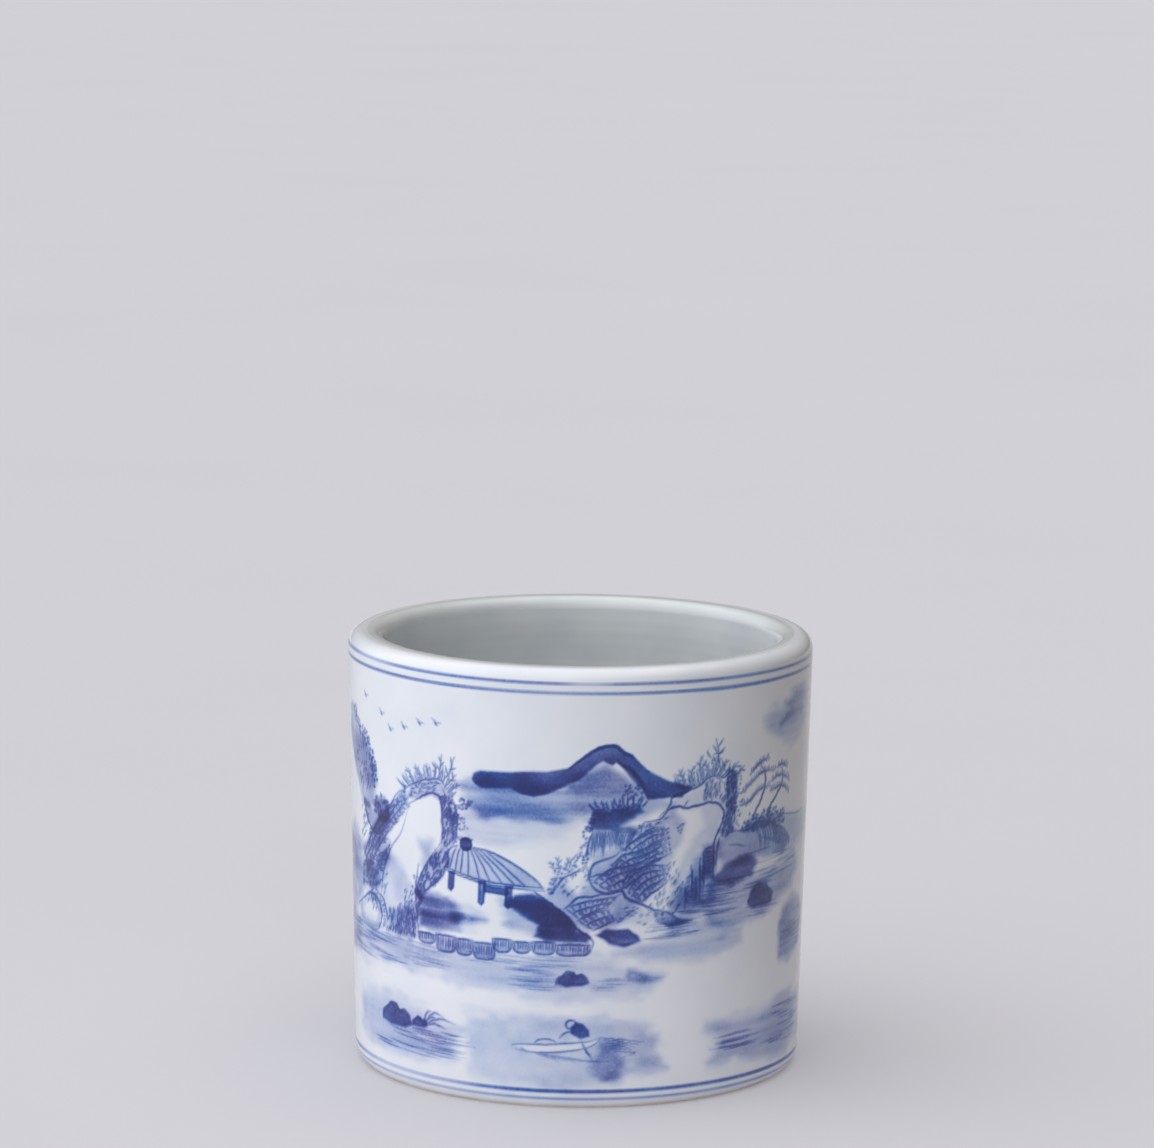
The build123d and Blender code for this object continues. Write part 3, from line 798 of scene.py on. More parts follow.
def lake():
    """The washes that stand for water on the front, and their lines."""
    wash([(-60, 50), (-40, 50.4), (-10, 50), (6, 49.4), (20, 45.4), (25, 43), (28, 42.2), (24.6, 40),
          (20, 36.6), (8, 37.6), (-6, 35), (-24, 38), (-44, 38.6), (-60, 42)], 0.16, 4.0, 0.05,
         flat_streaks, 0.5, dark=[(-10, 44, 9, 0.5), (22, 42, 4, 0.8)])
    wash([(16, 46), (24, 43.6), (27.8, 42.2), (24.4, 40.4), (16, 41.6)], 0.22, 1.4, 0.3)
    water(-62, -42, 42, 49.6, 13, 15, 0.42, 0.4)
    water(-40, 6, 46.4, 50, 12, 18, 0.42, 0.4)
    water(-24, -2, 39, 47, 13, 14, 0.42, 0.44)
    water(4, 18, 38.6, 43, 6, 9, 0.38, 0.34)
    islet(-1.6, 42.6, 0.66)
    wash([(34, 60), (46, 60), (60, 56), (58, 51), (42, 47.4), (22, 48), (12, 50.6), (22, 54)], 0.2, 3.2,
         0.0, flat_streaks)
    water(30, 62, 61, 72, 22, 16, 0.45, 0.46, 0.01)
    water(20, 42, 54.4, 60, 13, 15, 0.45, 0.5, -0.06)
    wash([(45, 70), (62, 70.4), (76, 72), (90, 77), (94, 70), (88, 64), (70, 58), (50, 54), (42, 60)], 0.3,
         3.4, 0.05, flat_streaks, 0.6, dark=[(74, 57, 7, 0.8)])
    water(58, 92, 67, 79, 18, 15, 0.42, 0.44, -0.04)
    wash([(60.5, 62), (62.4, 66.4), (66, 68.2), (70.6, 67.4), (74.4, 64), (73, 60.8), (64, 60.4)], 0.54,
         1.2, 0.2, dark=[(66, 64, 4, 0.3)])
    dots([(60.5, 62), (62.4, 66.4), (66, 68.2), (70.6, 67.4), (74.4, 64), (73, 60.8)], 20, 1.1, 0.58)
    water(56, 80, 58, 62, 7, 12, 0.45, 0.5)
    wash([(79, 53), (82, 57), (90, 60), (98, 58), (106, 54), (103, 47), (98, 41), (88, 38.6), (80, 41)],
         0.42, 2.6, 0.0, flat_streaks, 0.4, dark=[(86, 49, 9, 0.4)])
    water(79, 104, 42, 52, 9, 12, 0.45, 0.6)
    wash([(77, 119), (79, 125), (86, 129.6), (95, 130), (102, 126), (93, 121)], 0.4, 3.0, 0.0, flat_streaks,
         0.4)
    wash([(66, 119), (72, 125), (84, 124), (98, 122), (95, 114), (82, 111)], 0.22, 4.2, 0.0, flat_streaks,
         0.4)


def near_shore():
    """The strip under the cliff, and the wide washes along the foot."""
    wash([(-94, 55), (-86, 59.6), (-80, 60.6), (-76.4, 57), (-76.6, 51), (-82, 48.6), (-92, 50)], 0.18, 1.4,
         0.2)
    lift([(-91, 54.6), (-85, 58), (-80.4, 58.4), (-78.4, 55), (-80, 51.4), (-88, 51.6)])
    stroke([(-96, 54.6), (-90, 57.6), (-83.6, 60.6), (-78, 59.4), (-75.8, 54.4), (-78, 50), (-82, 48.6)],
           0.9, 0.66)
    stroke([(-80, 62.4), (-74.4, 60), (-72.4, 55), (-73.4, 50.6)], 0.8, 0.6)
    skin([(-79, 61), (-74, 59), (-73, 51), (-75, 51), (-76, 58)], 30, 20, 1.6, 0.42, 0.6)
    wash([(-73, 50), (-71, 57), (-64, 60.6), (-58, 60.6), (-57, 50.4)], 0.32, 1.6, 0.05)
    skin([(-73, 51), (-71, 58), (-58, 62), (-57, 51)], 80, 80, 2.2, 0.5, 0.62, 0.1)
    wash([(-112, 52), (-88, 51), (-60, 50), (-58, 42), (-86, 38.6), (-112, 40)], 0.24, 4.0, 0.0,
         flat_streaks, 0.4)
    water(-108, -58, 40, 50, 22, 18, 0.45, 0.46)
    wash([(-94, 28), (-80, 30), (-62, 28.6), (-48, 27), (-40, 22), (-42, 13), (-60, 10.6), (-84, 12),
          (-94, 15)], 0.22, 4.0, 0.0, flat_streaks, 0.4, dark=[(-66, 19, 12, 0.4)])
    islet(-68, 23.6, 1.0)
    islet(-56, 23.2, 0.42)
    for tip in [(-50, 26.6), (-45.4, 26.2), (-41, 24.6), (-44.6, 22.6), (-47.6, 24.6)]:
        stroke([(-54.6, 22.4), ((tip[0] - 54.6) / 2, tip[1] + 0.9), tip], 0.7, 0.6, start=0.9, end=0.2)
    water(-82, -32, 12.6, 21.6, 20, 18, 0.45, 0.5)
    wash([(-38, 29), (-20, 31), (4, 30), (22, 27), (28, 22), (24, 18), (30, 12.5), (24, 11), (14, 13),
          (14, 8), (0, 6.6), (-24, 7), (-36, 10)], 0.17, 3.6, 0.1, blotches, 0.4)
    wash([(7, 23), (14, 22), (15.6, 16), (15, 9.6), (8, 9), (4, 14)], 0.26, 2.8, 0.15)
    wash([(18, 24), (28, 25), (26, 18), (30, 12.6), (22, 14), (18, 18)], 0.12, 2.4, 0.2)
    wash([(45, 25), (56, 26), (70, 25), (84, 28), (104, 27), (106, 12), (84, 9), (66, 11), (46, 12),
          (48, 18)], 0.24, 4.0, 0.05, flat_streaks, 0.4, dark=[(84, 18, 14, 0.7)])
    water(46, 70, 15, 21.4, 6, 22, 0.45, 0.5, 0.0)
    water(68, 104, 12, 26, 12, 16, 0.45, 0.5)


def boat(manned=True):
    """A long low boat with an arched cover, and a boatman who is a dab with a round hat."""
    rail = [(-21, 20.4), (-17.5, 20.8), (-8, 21.2), (0, 21.9), (4.6, 22.4), (7.6, 23.6)]
    keel = [(-18, 19.6), (-15, 18.4), (-7.5, 18.6), (0, 19.5), (4, 20.5), (6.6, 22), (7.6, 23.6)]
    lift([*rail, *keel[::-1]], 0.7, 0.8)
    stroke(rail, 0.5, 0.66, shake=0.04)
    stroke(keel, 0.5, 0.66, shake=0.04)
    stroke([(-13.8, 21), (-12.6, 22.4), (-10, 22.9), (-7.4, 22.4), (-6, 21.4)], 0.5, 0.62, shake=0.03)
    if manned:
        wash([(-2, 24.8), (-1.8, 27), (-0.4, 28.4), (2, 28), (4, 26), (4.4, 23.8), (1.4, 22.9)], 0.58, 0.8,
             0.2)
        stroke([(0, 27.9), (-0.8, 29), (-2.4, 29.2), (-3.5, 28), (-3, 26.6), (-1.6, 26.5), (-0.4, 27.4)],
               0.55, 0.66, shake=0.02)
        stroke([(-5.5, 23.4), (-4, 24.8), (-2.6, 25.4), (-1, 25.4)], 0.5, 0.6)
    stroke([(1.4, 22.4), (3, 19.6), (5, 16.4)], 0.6, 0.66)
    for k in range(7):
        stroke([(-20 + 2.4 * k, 19.2 - 0.3 * k), (-12 + 2.6 * k, 17.8 - 0.3 * k), (-5.5 + 2.6 * k, 15.6)],
               0.42, 0.42)
    for k in range(6):
        stroke([(7.6 + k, 23.6 - 0.9 * k), (14 + k, 22.8 - 0.9 * k), (22 - 1.4 * k, 21.6 - 0.9 * k)], 0.45,
               0.5)


lake()
near_shore()
boat()
print("water, islets and boat")

# %% [markdown]
# ## The far side
#
# The landscape runs on round the pot, and the painter works from the same stock of forms. The easel mirrors
# and shifts them: the cliffs return on one side, a second hut stands on the other, with the far mountain
# and an empty boat between them. Fresh random touches make each one differ from its twin.

# %% Far side
move_easel(along=207, up=-6, wide=-0.86, tall=0.95)
for paint in (shelves, cliff_foot, thicket, crown, low_hills, pines):
    paint()
move_easel(along=-206, up=-1, wide=0.96)
far_mountain()
move_easel(along=-172, up=-3, wide=-0.94)
for paint in (arched_rock, leaning_limb, mound, hut, bank_stones):
    paint()
move_easel(along=-178, wide=-1)
lake()
move_easel(along=250, up=3, wide=-1.1, tall=0.9)
near_shore()
move_easel(along=-150, up=-2, wide=-1)
boat(manned=False)
move_easel()
for along, up in [(150, 122), (157, 119), (163, 121.5), (170, 118), (-228, 124), (-221, 121), (-150, 123)]:
    bird(along, up)
print("far side painted")

# %% [markdown]
# ## The mesh of the glaze
#
# The glazed side is a surface of revolution. A cylinder primitive with a bevel would give the right size,
# but not the soft lip, the heel or a mesh fine enough to carry the painting. So the profile is written as
# corners with rounding radii, walked in small steps, and turned round the axis. Each coat is a closed skin
# with its real thickness: out along the glaze and back along the clay.

# %% Profiles
painted_step = 0.4
plain_step = 0.8
clay_step = 3.0
outer_clay_step = 4.0


def walked_profile(corners, step):
    """Points along straight runs and rounded corners. Each corner is (radius, level, rounding)."""
    corners = [(np.array(c[:2], float), c[2]) for c in corners]
    path = [corners[0][0]]
    for (before, _), (here, rounding), (after, _) in zip(corners, corners[1:], corners[2:]):
        back = (before - here) / np.hypot(*(before - here))
        ahead = (after - here) / np.hypot(*(after - here))
        turn = math.pi - math.acos(np.clip(back @ ahead, -1, 1))
        if rounding < 1e-6 or turn < 1e-3:
            path.append(here)
            continue
        reach = rounding * math.tan(turn / 2)
        middle = here + (back + ahead) / np.hypot(*(back + ahead)) * rounding / math.cos(turn / 2)
        start, end = here + back * reach, here + ahead * reach
        a = math.atan2(*(start - middle)[::-1])
        sweep = (math.atan2(*(end - middle)[::-1]) - a + math.pi) % (2 * math.pi) - math.pi
        count = max(3, int(abs(sweep) * rounding / step))
        for t in np.linspace(0, 1, count + 1):
            path.append(middle + rounding * np.array([math.cos(a + sweep * t), math.sin(a + sweep * t)]))
    path.append(corners[-1][0])
    made = [path[0]]
    for start, end in zip(path, path[1:]):
        count = max(1, round(np.hypot(*(end - start)) / step))
        made.extend([start + (end - start) * (k + 1) / count for k in range(count)])
    return np.array(made)


heel_top = (heel_round**2 - (heel_round - heel_inset) ** 2) ** 0.5
heel_centre = (side_radius(heel_top) - heel_round, heel_top)


def heel_radius(level, thickness=0.0):
    """Radius of the rounded heel at a height, less some thickness of glaze."""
    return heel_centre[0] + ((heel_round - thickness) ** 2 - (level - heel_centre[1]) ** 2) ** 0.5


heel = [(heel_radius(level), level, 0) for level in np.linspace(bare_height, heel_top, 12)]
outer_side = walked_profile([*heel, (side_radius(height), height, lip_round), (coat_split, height, 0)],
                            painted_step)
clay_heel = [(heel_radius(level, glaze), level, 0) for level in np.linspace(bare_height, heel_top, 8)]
outer_back = walked_profile([*clay_heel, (side_radius(height) - glaze, height - glaze, lip_round - glaze),
                             (coat_split, height - glaze, 0)], outer_clay_step)
print(f"outer profile {len(outer_side)} points, largest radius {outer_side[:, 0].max():.2f} mm")

# %% [markdown]
# The mesh is made from arrays: one ring of points for each step of the profile, and a quad between
# neighbours. The map for baking is laid out in two strips, one for each half of the pot, so no
# detail is lost to stretching.

# %% Turning a profile into a closed skin
def turned(name, profile, columns):
    """A skin turned round the Z axis. The profile's last point joins its first."""
    rings = len(profile)
    angle = 2 * math.pi * np.arange(columns) / columns
    out = np.empty((rings, columns, 3))
    out[..., 0] = profile[:, :1] * np.sin(angle)
    out[..., 1] = -profile[:, :1] * np.cos(angle)
    out[..., 2] = profile[:, 1:]
    ring = np.arange(rings)
    low = ring[:, None] * columns + np.arange(columns)
    low_next = ring[:, None] * columns + (np.arange(columns) + 1) % columns
    high = (ring[:, None] + 1) % rings * columns + np.arange(columns)
    high_next = (ring[:, None] + 1) % rings * columns + (np.arange(columns) + 1) % columns
    quads = np.stack([low, low_next, high_next, high], -1).reshape(-1, 4)
    mesh = bpy.data.meshes.new(name)
    mesh.vertices.add(rings * columns)
    mesh.vertices.foreach_set("co", (out * MM).astype(np.float32).ravel())
    mesh.loops.add(quads.size)
    mesh.loops.foreach_set("vertex_index", quads.astype(np.int32).ravel())
    mesh.polygons.add(len(quads))
    mesh.polygons.foreach_set("loop_start", (np.arange(len(quads)) * 4).astype(np.int32))
    mesh.update(calc_edges=True)
    mesh.shade_smooth()
    mesh.set_sharp_from_angle(angle=math.radians(35))
    made = bpy.data.objects.new(name, mesh)
    bpy.context.scene.collection.objects.link(made)
    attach(made, "root")
    print(f"{name}: {len(quads)} faces")
    return made


def lay_out_strips(piece, profile, columns, halves=2, gap=1.01, margin=0.004):
    """A bake map of flat strips, each holding part of the way round, with a gap between them."""
    walked = walked_lengths(np.vstack([profile, profile[:1]]))
    across = 2 * math.pi * profile[:, 0].max() / halves
    size = max(across, walked[-1] * halves) * 1.02
    column, ring = np.meshgrid(np.arange(columns), np.arange(len(profile)))
    strip = column * halves // columns
    u = np.stack([column, column + 1, column + 1, column], -1) * halves / columns - strip[..., None]
    v = np.stack([walked[ring], walked[ring], walked[ring + 1], walked[ring + 1]], -1)
    placed = np.stack([u * across, v + strip[..., None] * walked[-1] * gap], -1) / size + margin
    piece.data.uv_layers.new(name="OFBake").data.foreach_set("uv", placed.astype(np.float32).ravel())


# %% Outer coat, with the painting in it
painted_columns = 1200
outer_profile = np.vstack([outer_side, outer_back[::-1]])
outer_coat = turned("outer_coat", outer_profile, painted_columns)
lay_out_strips(outer_coat, outer_profile, painted_columns)


def laid_on(canvas):
    """The canvas read at every point of the outer coat. Points on the clay side get none."""
    along = np.arange(painted_columns) / painted_columns * COLUMNS + COLUMNS / 2
    up = np.clip(outer_profile[:, 1] / PITCH, 0, ROWS - 1.001)
    left, low = along.astype(int), up.astype(int)
    fx, fy = along - left, (up - low)[:, None]
    rows = canvas[low] * (1 - fy) + canvas[low + 1] * fy
    read = rows[:, left % COLUMNS] * (1 - fx) + rows[:, (left + 1) % COLUMNS] * fx
    read[len(outer_side):] = 0
    return read


cobalt = np.clip(washes + strokes * (1 - 0.3 * np.clip(washes, 0, 1)), 0, 1.3) / 1.3
attribute = outer_coat.data.attributes.new("cobalt", "FLOAT", "POINT")
attribute.data.foreach_set("value", laid_on(cobalt).astype(np.float32).ravel())
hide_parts("outer_glaze", "banding_lines")

# %% [markdown]
# ## The inside, the underside and the foot
#
# The inner coat runs over the inner half of the lip, down the mouth and under it into the wider well, and
# round the soft corner to the floor. The underside coat lines the hollow of the foot. Only the foot ring's
# tread is bare: it stood on the kiln shelf.

# %% Inner coat and underside
def inside_radius(level):
    """Radius of the glazed inner side at a height, below the lip."""
    return side_radius(level) - 2 * glaze - wall


inner_columns = 600
under_columns = 360
axis_gap = 0.05  # the skins stop just short of the axis, so that no face shrinks to nothing
lip_end = height - glaze - lip_band
undercut_end = lip_end - lip_undercut
inner_side = walked_profile([
    (coat_split, height, 0),
    (mouth_radius, height, mouth_round),
    (mouth_radius, lip_end, undercut_round),
    (inside_radius(undercut_end), undercut_end, undercut_round),
    (inside_radius(floor_level), floor_level, floor_round),
    (axis_gap, floor_level, 0)], plain_step)
inner_back = walked_profile([
    (coat_split, height - glaze, 0),
    (mouth_radius + glaze, height - glaze, mouth_round - glaze),
    (mouth_radius + glaze, lip_end, undercut_round),
    (inside_radius(undercut_end) + glaze, undercut_end, undercut_round),
    (inside_radius(floor_level) + glaze, floor_level - glaze, floor_round + glaze),
    (axis_gap, floor_level - glaze, 0)], clay_step)
inner_coat = turned("inner_coat", np.vstack([inner_side, inner_back[::-1]]), inner_columns)
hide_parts("inner_glaze")

hollow_top = foot_hollow + glaze
under_side = walked_profile([
    (foot_inside, bare_height, 0),
    (foot_inside, foot_hollow, hollow_round),
    (axis_gap, foot_hollow, 0)], plain_step)
under_back = walked_profile([
    (foot_inside + glaze, bare_height, 0),
    (foot_inside + glaze, hollow_top, hollow_round + glaze),
    (axis_gap, hollow_top, 0)], clay_step)
underside_coat = turned("underside_coat", np.vstack([under_side, under_back[::-1]]), under_columns)
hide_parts("underside_glaze")

# %% [markdown]
# ## Materials
#
# The body is hard-paste porcelain: white kaolin clay fired to glass-like density. Bare, it is matt and
# faintly warm, with fine grit. The clear glaze on it is a feldspar glass with an index near 1.5: a sharp
# thin reflection over a soft white. Cobalt under that glass runs from sky blue where it is thin to
# near-black violet where it pools. Colours are written as sRGB hex, the way a paint chart gives them, and
# one function makes them linear.

# %% Helpers for materials
def linear(code):
    """An sRGB hex colour as a linear RGBA."""
    values = [int(code[k:k + 2], 16) / 255 for k in (0, 2, 4)]
    return (*[v / 12.92 if v <= 0.04045 else ((v + 0.055) / 1.055) ** 2.4 for v in values], 1.0)


def add(material, kind, inputs=None, **settings):
    """Adds a node. inputs maps its sockets to values or to the sockets that feed them."""
    made = material.node_tree.nodes.new(kind)
    for name, value in settings.items():
        setattr(made, name, value)
    for socket, value in (inputs or {}).items():
        if isinstance(value, bpy.types.NodeSocket):
            material.node_tree.links.new(value, made.inputs[socket])
        else:
            made.inputs[socket].default_value = value
    return made


def set_ramp(made, stops):
    """Sets a colour ramp's stops from (place, hex) pairs."""
    ramp = made.color_ramp
    while len(ramp.elements) < len(stops):
        ramp.elements.new(0.5)
    for element, (place, code) in zip(ramp.elements, stops):
        element.position, element.color = place, linear(code)


def new_material(name, roughness, ior):
    """A material with one Principled shader, whose even settings are set on its own sockets."""
    material = bpy.data.materials.new(name)
    material.use_nodes = True
    material.node_tree.nodes.clear()
    shader = add(material, "ShaderNodeBsdfPrincipled", {"Roughness": roughness, "IOR": ior})
    add(material, "ShaderNodeOutputMaterial", {"Surface": shader.outputs["BSDF"]})
    return material, shader


def in_mm(material, size):
    """Object coordinates scaled so that a texture's features are about that many mm across."""
    place = add(material, "ShaderNodeTexCoord").outputs["Object"]
    scaled = add(material, "ShaderNodeMapping", {"Vector": place, "Scale": (1 / (size * MM),) * 3})
    return scaled.outputs["Vector"]


def link(material, source, target):
    """Feeds a socket from another."""
    material.node_tree.links.new(source, target)


# %% [markdown]
# The glaze is never perfectly level: it sets with a slow waviness about a centimetre across and a fine
# orange peel, and both show only where something is reflected. Its white drifts a little towards blue-grey
# where the coat is thicker.

# %% Glaze surface and white
def glaze_relief(material, shader, under=None):
    """Slow waviness and fine orange peel, over the relief of the clay under it if that shows."""
    slow = add(material, "ShaderNodeTexNoise", {"Vector": in_mm(material, 14), "Scale": 1.0, "Detail": 2.0})
    waves = add(material, "ShaderNodeBump",
                {"Height": slow.outputs["Fac"], "Strength": 0.35, "Distance": 0.05 * MM})
    if under:
        link(material, under, waves.inputs["Normal"])
    fine = add(material, "ShaderNodeTexNoise", {"Vector": in_mm(material, 1.2), "Scale": 1.0, "Detail": 2.0})
    peel = add(material, "ShaderNodeBump",
               {"Height": fine.outputs["Fac"], "Strength": 0.3, "Distance": 0.004 * MM,
                "Normal": waves.outputs["Normal"]})
    link(material, peel.outputs["Normal"], shader.inputs["Normal"])
    dull = add(material, "ShaderNodeTexNoise", {"Vector": in_mm(material, 9), "Scale": 1.0, "Detail": 4.0})
    sheen = add(material, "ShaderNodeMapRange",
                {"Value": dull.outputs["Fac"], "From Min": 0.3, "From Max": 0.7,
                 "To Min": 0.07, "To Max": 0.13})
    link(material, sheen.outputs["Result"], shader.inputs["Roughness"])


def glaze_white(material, thin="e8e9ee", thick="dee2ea"):
    """The colour of clear glaze over white clay, drifting with the thickness of the coat."""
    coat = add(material, "ShaderNodeTexNoise", {"Vector": in_mm(material, 22), "Scale": 1.0, "Detail": 3.0})
    drift = add(material, "ShaderNodeValToRGB", {"Fac": coat.outputs["Fac"]})
    set_ramp(drift, [(0.3, thin), (0.7, thick)])
    return drift.outputs["Color"]


# %% Underglaze cobalt on porcelain
painted, painted_shader = new_material("porcelain, cobalt brushed under clear glaze", 0.1, 1.5)
amount = add(painted, "ShaderNodeAttribute", attribute_name="cobalt").outputs["Fac"]
grit = add(painted, "ShaderNodeTexNoise", {"Vector": in_mm(painted, 0.9), "Scale": 1.0, "Detail": 3.0})
grains = add(painted, "ShaderNodeMapRange",
             {"Value": grit.outputs["Fac"], "From Min": 0.25, "From Max": 0.75,
              "To Min": 0.88, "To Max": 1.12})
grained = add(painted, "ShaderNodeMath", {0: amount, 1: grains.outputs["Result"]}, operation="MULTIPLY")
pure = add(painted, "ShaderNodeValToRGB", {"Fac": grained.outputs["Value"]})
set_ramp(pure, [(0, "ffffff"), (0.09, "e2e9f6"), (0.19, "c3d1ec"), (0.31, "97afdd"), (0.42, "6787c6"),
                (0.54, "4468b4"), (0.65, "3252a3"), (0.78, "28438e"), (1.0, "24327a")])
violet = add(painted, "ShaderNodeValToRGB", {"Fac": grained.outputs["Value"]})
set_ramp(violet, [(0, "ffffff"), (0.09, "e2e5f4"), (0.19, "c6cbe6"), (0.31, "a0a7d2"), (0.42, "7679b6"),
                  (0.54, "5c61a4"), (0.65, "4a4d90"), (0.78, "3c3d7c"), (1.0, "302f62")])
ground = add(painted, "ShaderNodeTexNoise", {"Vector": in_mm(painted, 34), "Scale": 1.0, "Detail": 2.0})
violet_share = add(painted, "ShaderNodeMapRange",
                   {"Value": ground.outputs["Fac"], "From Min": 0.42, "From Max": 0.62,
                    "To Min": 0.0, "To Max": 0.75})
# Sockets 6 and 7 of a colour Mix are its two colours, and output 2 is the mixed one.
tone = add(painted, "ShaderNodeMix",
           {0: violet_share.outputs["Result"], 6: pure.outputs["Color"], 7: violet.outputs["Color"]},
           data_type="RGBA")
stained = add(painted, "ShaderNodeMix", {0: 1.0, 6: glaze_white(painted), 7: tone.outputs[2]},
              data_type="RGBA", blend_type="MULTIPLY")
link(painted, stained.outputs[2], painted_shader.inputs["Base Color"])
glaze_relief(painted, painted_shader)
outer_coat.data.materials.append(painted)

# %% [markdown]
# Inside, the same glaze was poured in and tipped out, so it is a little thicker and greener, and faint
# throwing rings from the potter's fingers show through it. Its white is also set greyer and darker than
# the outside's, as painted shade for the inside of the pot.

# %% Plain glaze, inside and under
poured, poured_shader = new_material("porcelain, poured clear glaze, greyed as painted shade", 0.1, 1.5)
# The inside white is darker than the outer white: partly a greener glaze, partly painted shade for the
# inside.
link(poured, glaze_white(poured, "d8dbdc", "cbd0d3"), poured_shader.inputs["Base Color"])
ring_spacing = 4
one_band = 0.314  # at this scale a wave texture has one band to each unit, so one to each spacing
rings = add(poured, "ShaderNodeTexWave",
            {"Vector": in_mm(poured, ring_spacing), "Scale": one_band, "Distortion": 0.8,
             "Detail Scale": 0.2}, bands_direction="Z")
fingers = add(poured, "ShaderNodeBump",
              {"Height": rings.outputs["Fac"], "Strength": 0.5, "Distance": 0.05 * MM})
glaze_relief(poured, poured_shader, fingers.outputs["Normal"])
inner_coat.data.materials.append(poured)
brushed, brushed_shader = new_material("porcelain, brushed clear glaze", 0.14, 1.5)
link(brushed, glaze_white(brushed, "e4e6e8", "d6dbe2"), brushed_shader.inputs["Base Color"])
glaze_relief(brushed, brushed_shader)
underside_coat.data.materials.append(brushed)


# %% Bare clay
def fired_clay(name, pale, warm, grit):
    """Unglazed porcelain: matt, with fine grit and a faint warm flush."""
    clay, shader = new_material(name, 0.62, 1.48)
    flush = add(clay, "ShaderNodeTexNoise", {"Vector": in_mm(clay, 11), "Scale": 1.0, "Detail": 4.0})
    tint = add(clay, "ShaderNodeValToRGB", {"Fac": flush.outputs["Fac"]})
    set_ramp(tint, [(0.3, pale), (0.7, warm)])
    link(clay, tint.outputs["Color"], shader.inputs["Base Color"])
    sand = add(clay, "ShaderNodeTexNoise", {"Vector": in_mm(clay, grit), "Scale": 1.0, "Detail": 3.0})
    rough = add(clay, "ShaderNodeBump",
                {"Height": sand.outputs["Fac"], "Strength": 0.5, "Distance": 0.03 * MM})
    link(clay, rough.outputs["Normal"], shader.inputs["Normal"])
    return clay


def dress(node, material):
    """Gives a CAD node its material. Its shape stays as it is."""
    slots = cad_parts[node].data.materials
    slots.clear()
    slots.append(material)


body_clay = fired_clay("porcelain clay, thrown and fired", "ebe7e0", "e2dacd", 0.6)
tread_clay = fired_clay("porcelain clay, turned and bare", "e9e4dc", "dccfc0", 0.8)
for node in ("thrown_wall", "seam_coil", "floor_slab"):
    dress(node, body_clay)
dress("foot_ring", tread_clay)

# %% [markdown]
# ## Floor, light and camera
#
# The pot stands on a wide pale grey floor. A dome of soft light surrounds it: a large bright window on the
# left, dim warm surroundings on the right, and a pale backdrop behind, whose reflection ends in an upright
# line on the right side of the glaze. The floor has a light of its own that the pot doesn't block, so only
# a soft contact shadow is left.

# %% Floor, in a near disc that throws light back at the pot and a far ring that doesn't
def floor_ring(name, inner, outer, sides=96):
    """A flat ring of floor, in metres. With an inner radius of 0 it is a disc."""
    rim = [(math.cos(2 * math.pi * k / sides), math.sin(2 * math.pi * k / sides)) for k in range(sides)]
    points = [(outer * x, outer * y, 0) for x, y in rim] + [(inner * x, inner * y, 0) for x, y in rim]
    faces = [(k, (k + 1) % sides, sides + (k + 1) % sides, sides + k) for k in range(sides)]
    if inner == 0:
        points, faces = points[:sides], [tuple(range(sides))]
    mesh = bpy.data.meshes.new(name)
    mesh.from_pydata(points, [], faces)
    made = bpy.data.objects.new(name, mesh)
    bpy.context.scene.collection.objects.link(made)
    return made


near_reach = 0.17
near_floor = floor_ring("near_floor", 0, near_reach)
far_floor = floor_ring("far_floor", near_reach, 80.0)
far_floor.visible_diffuse = False
paper, paper_shader = new_material("matt paper, pale grey", 0.95, 1.3)
pulp = add(paper, "ShaderNodeTexNoise", {"Vector": in_mm(paper, 300), "Scale": 1.0, "Detail": 2.0})
paper_tint = add(paper, "ShaderNodeValToRGB", {"Fac": pulp.outputs["Fac"]})
set_ramp(paper_tint, [(0.3, "a8a7ab"), (0.7, "a9a8ac")])
link(paper, paper_tint.outputs["Color"], paper_shader.inputs["Base Color"])
paper_shader.inputs["Specular IOR Level"].default_value = 0.0
for part in (near_floor, far_floor):
    part.data.materials.append(paper)

# %% Dome of light
world = bpy.data.worlds.new("studio")
bpy.context.scene.world = world
world.use_nodes = True
world.node_tree.nodes.clear()
way = add(world, "ShaderNodeTexCoord").outputs["Generated"]


def facing(x, y, z, start, end):
    """How far a direction of the dome faces a given way, from 0 at start to 1 at end."""
    length = math.sqrt(x * x + y * y + z * z)
    dot = add(world, "ShaderNodeVectorMath", {0: way, 1: (x / length, y / length, z / length)},
              operation="DOT_PRODUCT")
    share = add(world, "ShaderNodeMapRange",
                {"Value": dot.outputs["Value"], "From Min": start, "From Max": end},
                interpolation_type="SMOOTHSTEP")
    return share.outputs["Result"]


def lit(share, dim, bright):
    """Mixes two colours of light."""
    return add(world, "ShaderNodeMix", {0: share, 6: dim, 7: bright}, data_type="RGBA").outputs[2]


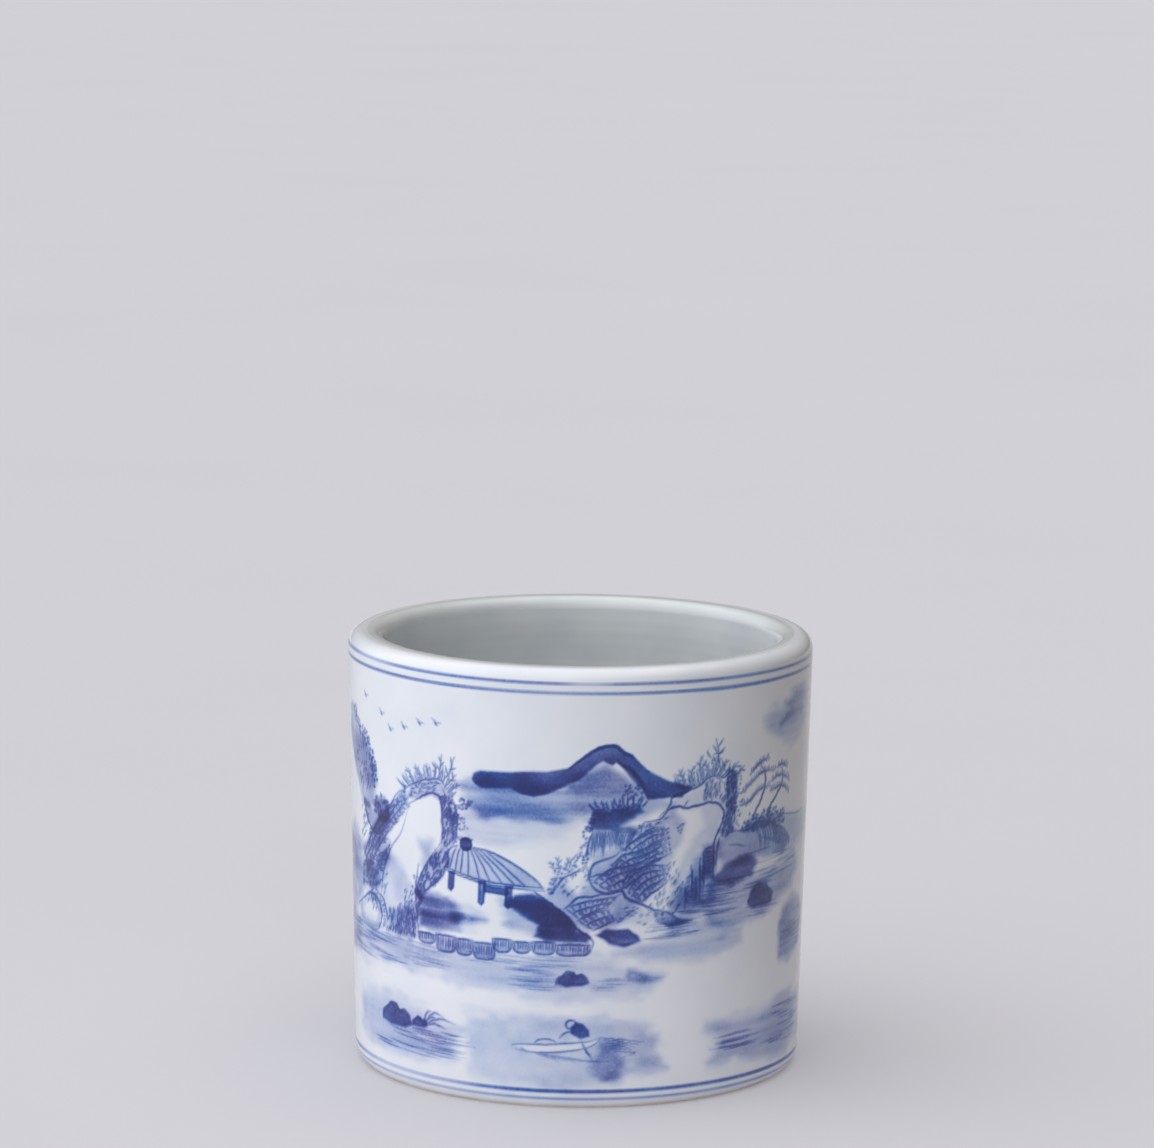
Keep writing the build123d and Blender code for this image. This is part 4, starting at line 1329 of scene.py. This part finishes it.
warm_dim = (0.045, 0.022, 0.003, 1)
window = (1.26, 1.3, 1.37, 1)
backdrop = (0.12, 0.108, 0.09, 1)
overhead = (1.68, 1.67, 1.65, 1)
dome = lit(facing(-0.6, -0.78, 0.04, 0.05, 0.95), warm_dim, window)
dome = lit(facing(-0.545, 0.84, 0.0, -0.015, 0.03), dome, backdrop)
dome = lit(facing(-0.95, -0.25, 0.2, 0.2, 0.85), dome, window)
dome = lit(facing(-0.12, -0.08, 0.99, 0.55, 0.94), dome, overhead)
# The camera itself sees plain pale grey beyond the end of the floor.
seen = lit(add(world, "ShaderNodeLightPath").outputs["Is Camera Ray"], dome, linear("cfced3"))
sky = add(world, "ShaderNodeBackground", {"Color": seen, "Strength": 1.0})
add(world, "ShaderNodeOutputWorld", {"Surface": sky.outputs["Background"]})

# %% Floor light and camera
floor_only = bpy.data.collections.new("floor_only")
floor_only.objects.link(near_floor)
floor_only.objects.link(far_floor)
soft_sun = bpy.data.lights.new("floor_wash", "SUN")
soft_sun.energy = 1.95
soft_sun.angle = math.radians(90)
soft_sun.color = (1.0, 0.995, 1.03)
floor_wash = bpy.data.objects.new("floor_wash", soft_sun)
floor_wash.light_linking.receiver_collection = floor_only
floor_wash.light_linking.blocker_collection = floor_only
bpy.context.scene.collection.objects.link(floor_wash)

camera_data = bpy.data.cameras.new("camera")
camera_data.sensor_width = 36.0
camera_data.lens = 158.50607
camera_data.clip_end = 200
camera = bpy.data.objects.new("camera", camera_data)
camera_place = Vector((-1.4, -1635.6, 422.8)) * MM
looks_down = 9.12  # degrees below level
lean = 0.6  # degrees to one side
tilt = Matrix.Rotation(math.radians(90 - looks_down), 4, "X")
roll = Matrix.Rotation(math.radians(lean), 4, "Z")
camera.matrix_world = Matrix.Translation(camera_place) @ tilt @ roll
bpy.context.scene.collection.objects.link(camera)
bpy.context.scene.camera = camera
bpy.context.scene.view_settings.view_transform = "Standard"
print(f"lens {camera_data.lens:.1f} mm, camera {camera_place.length:.2f} m away")
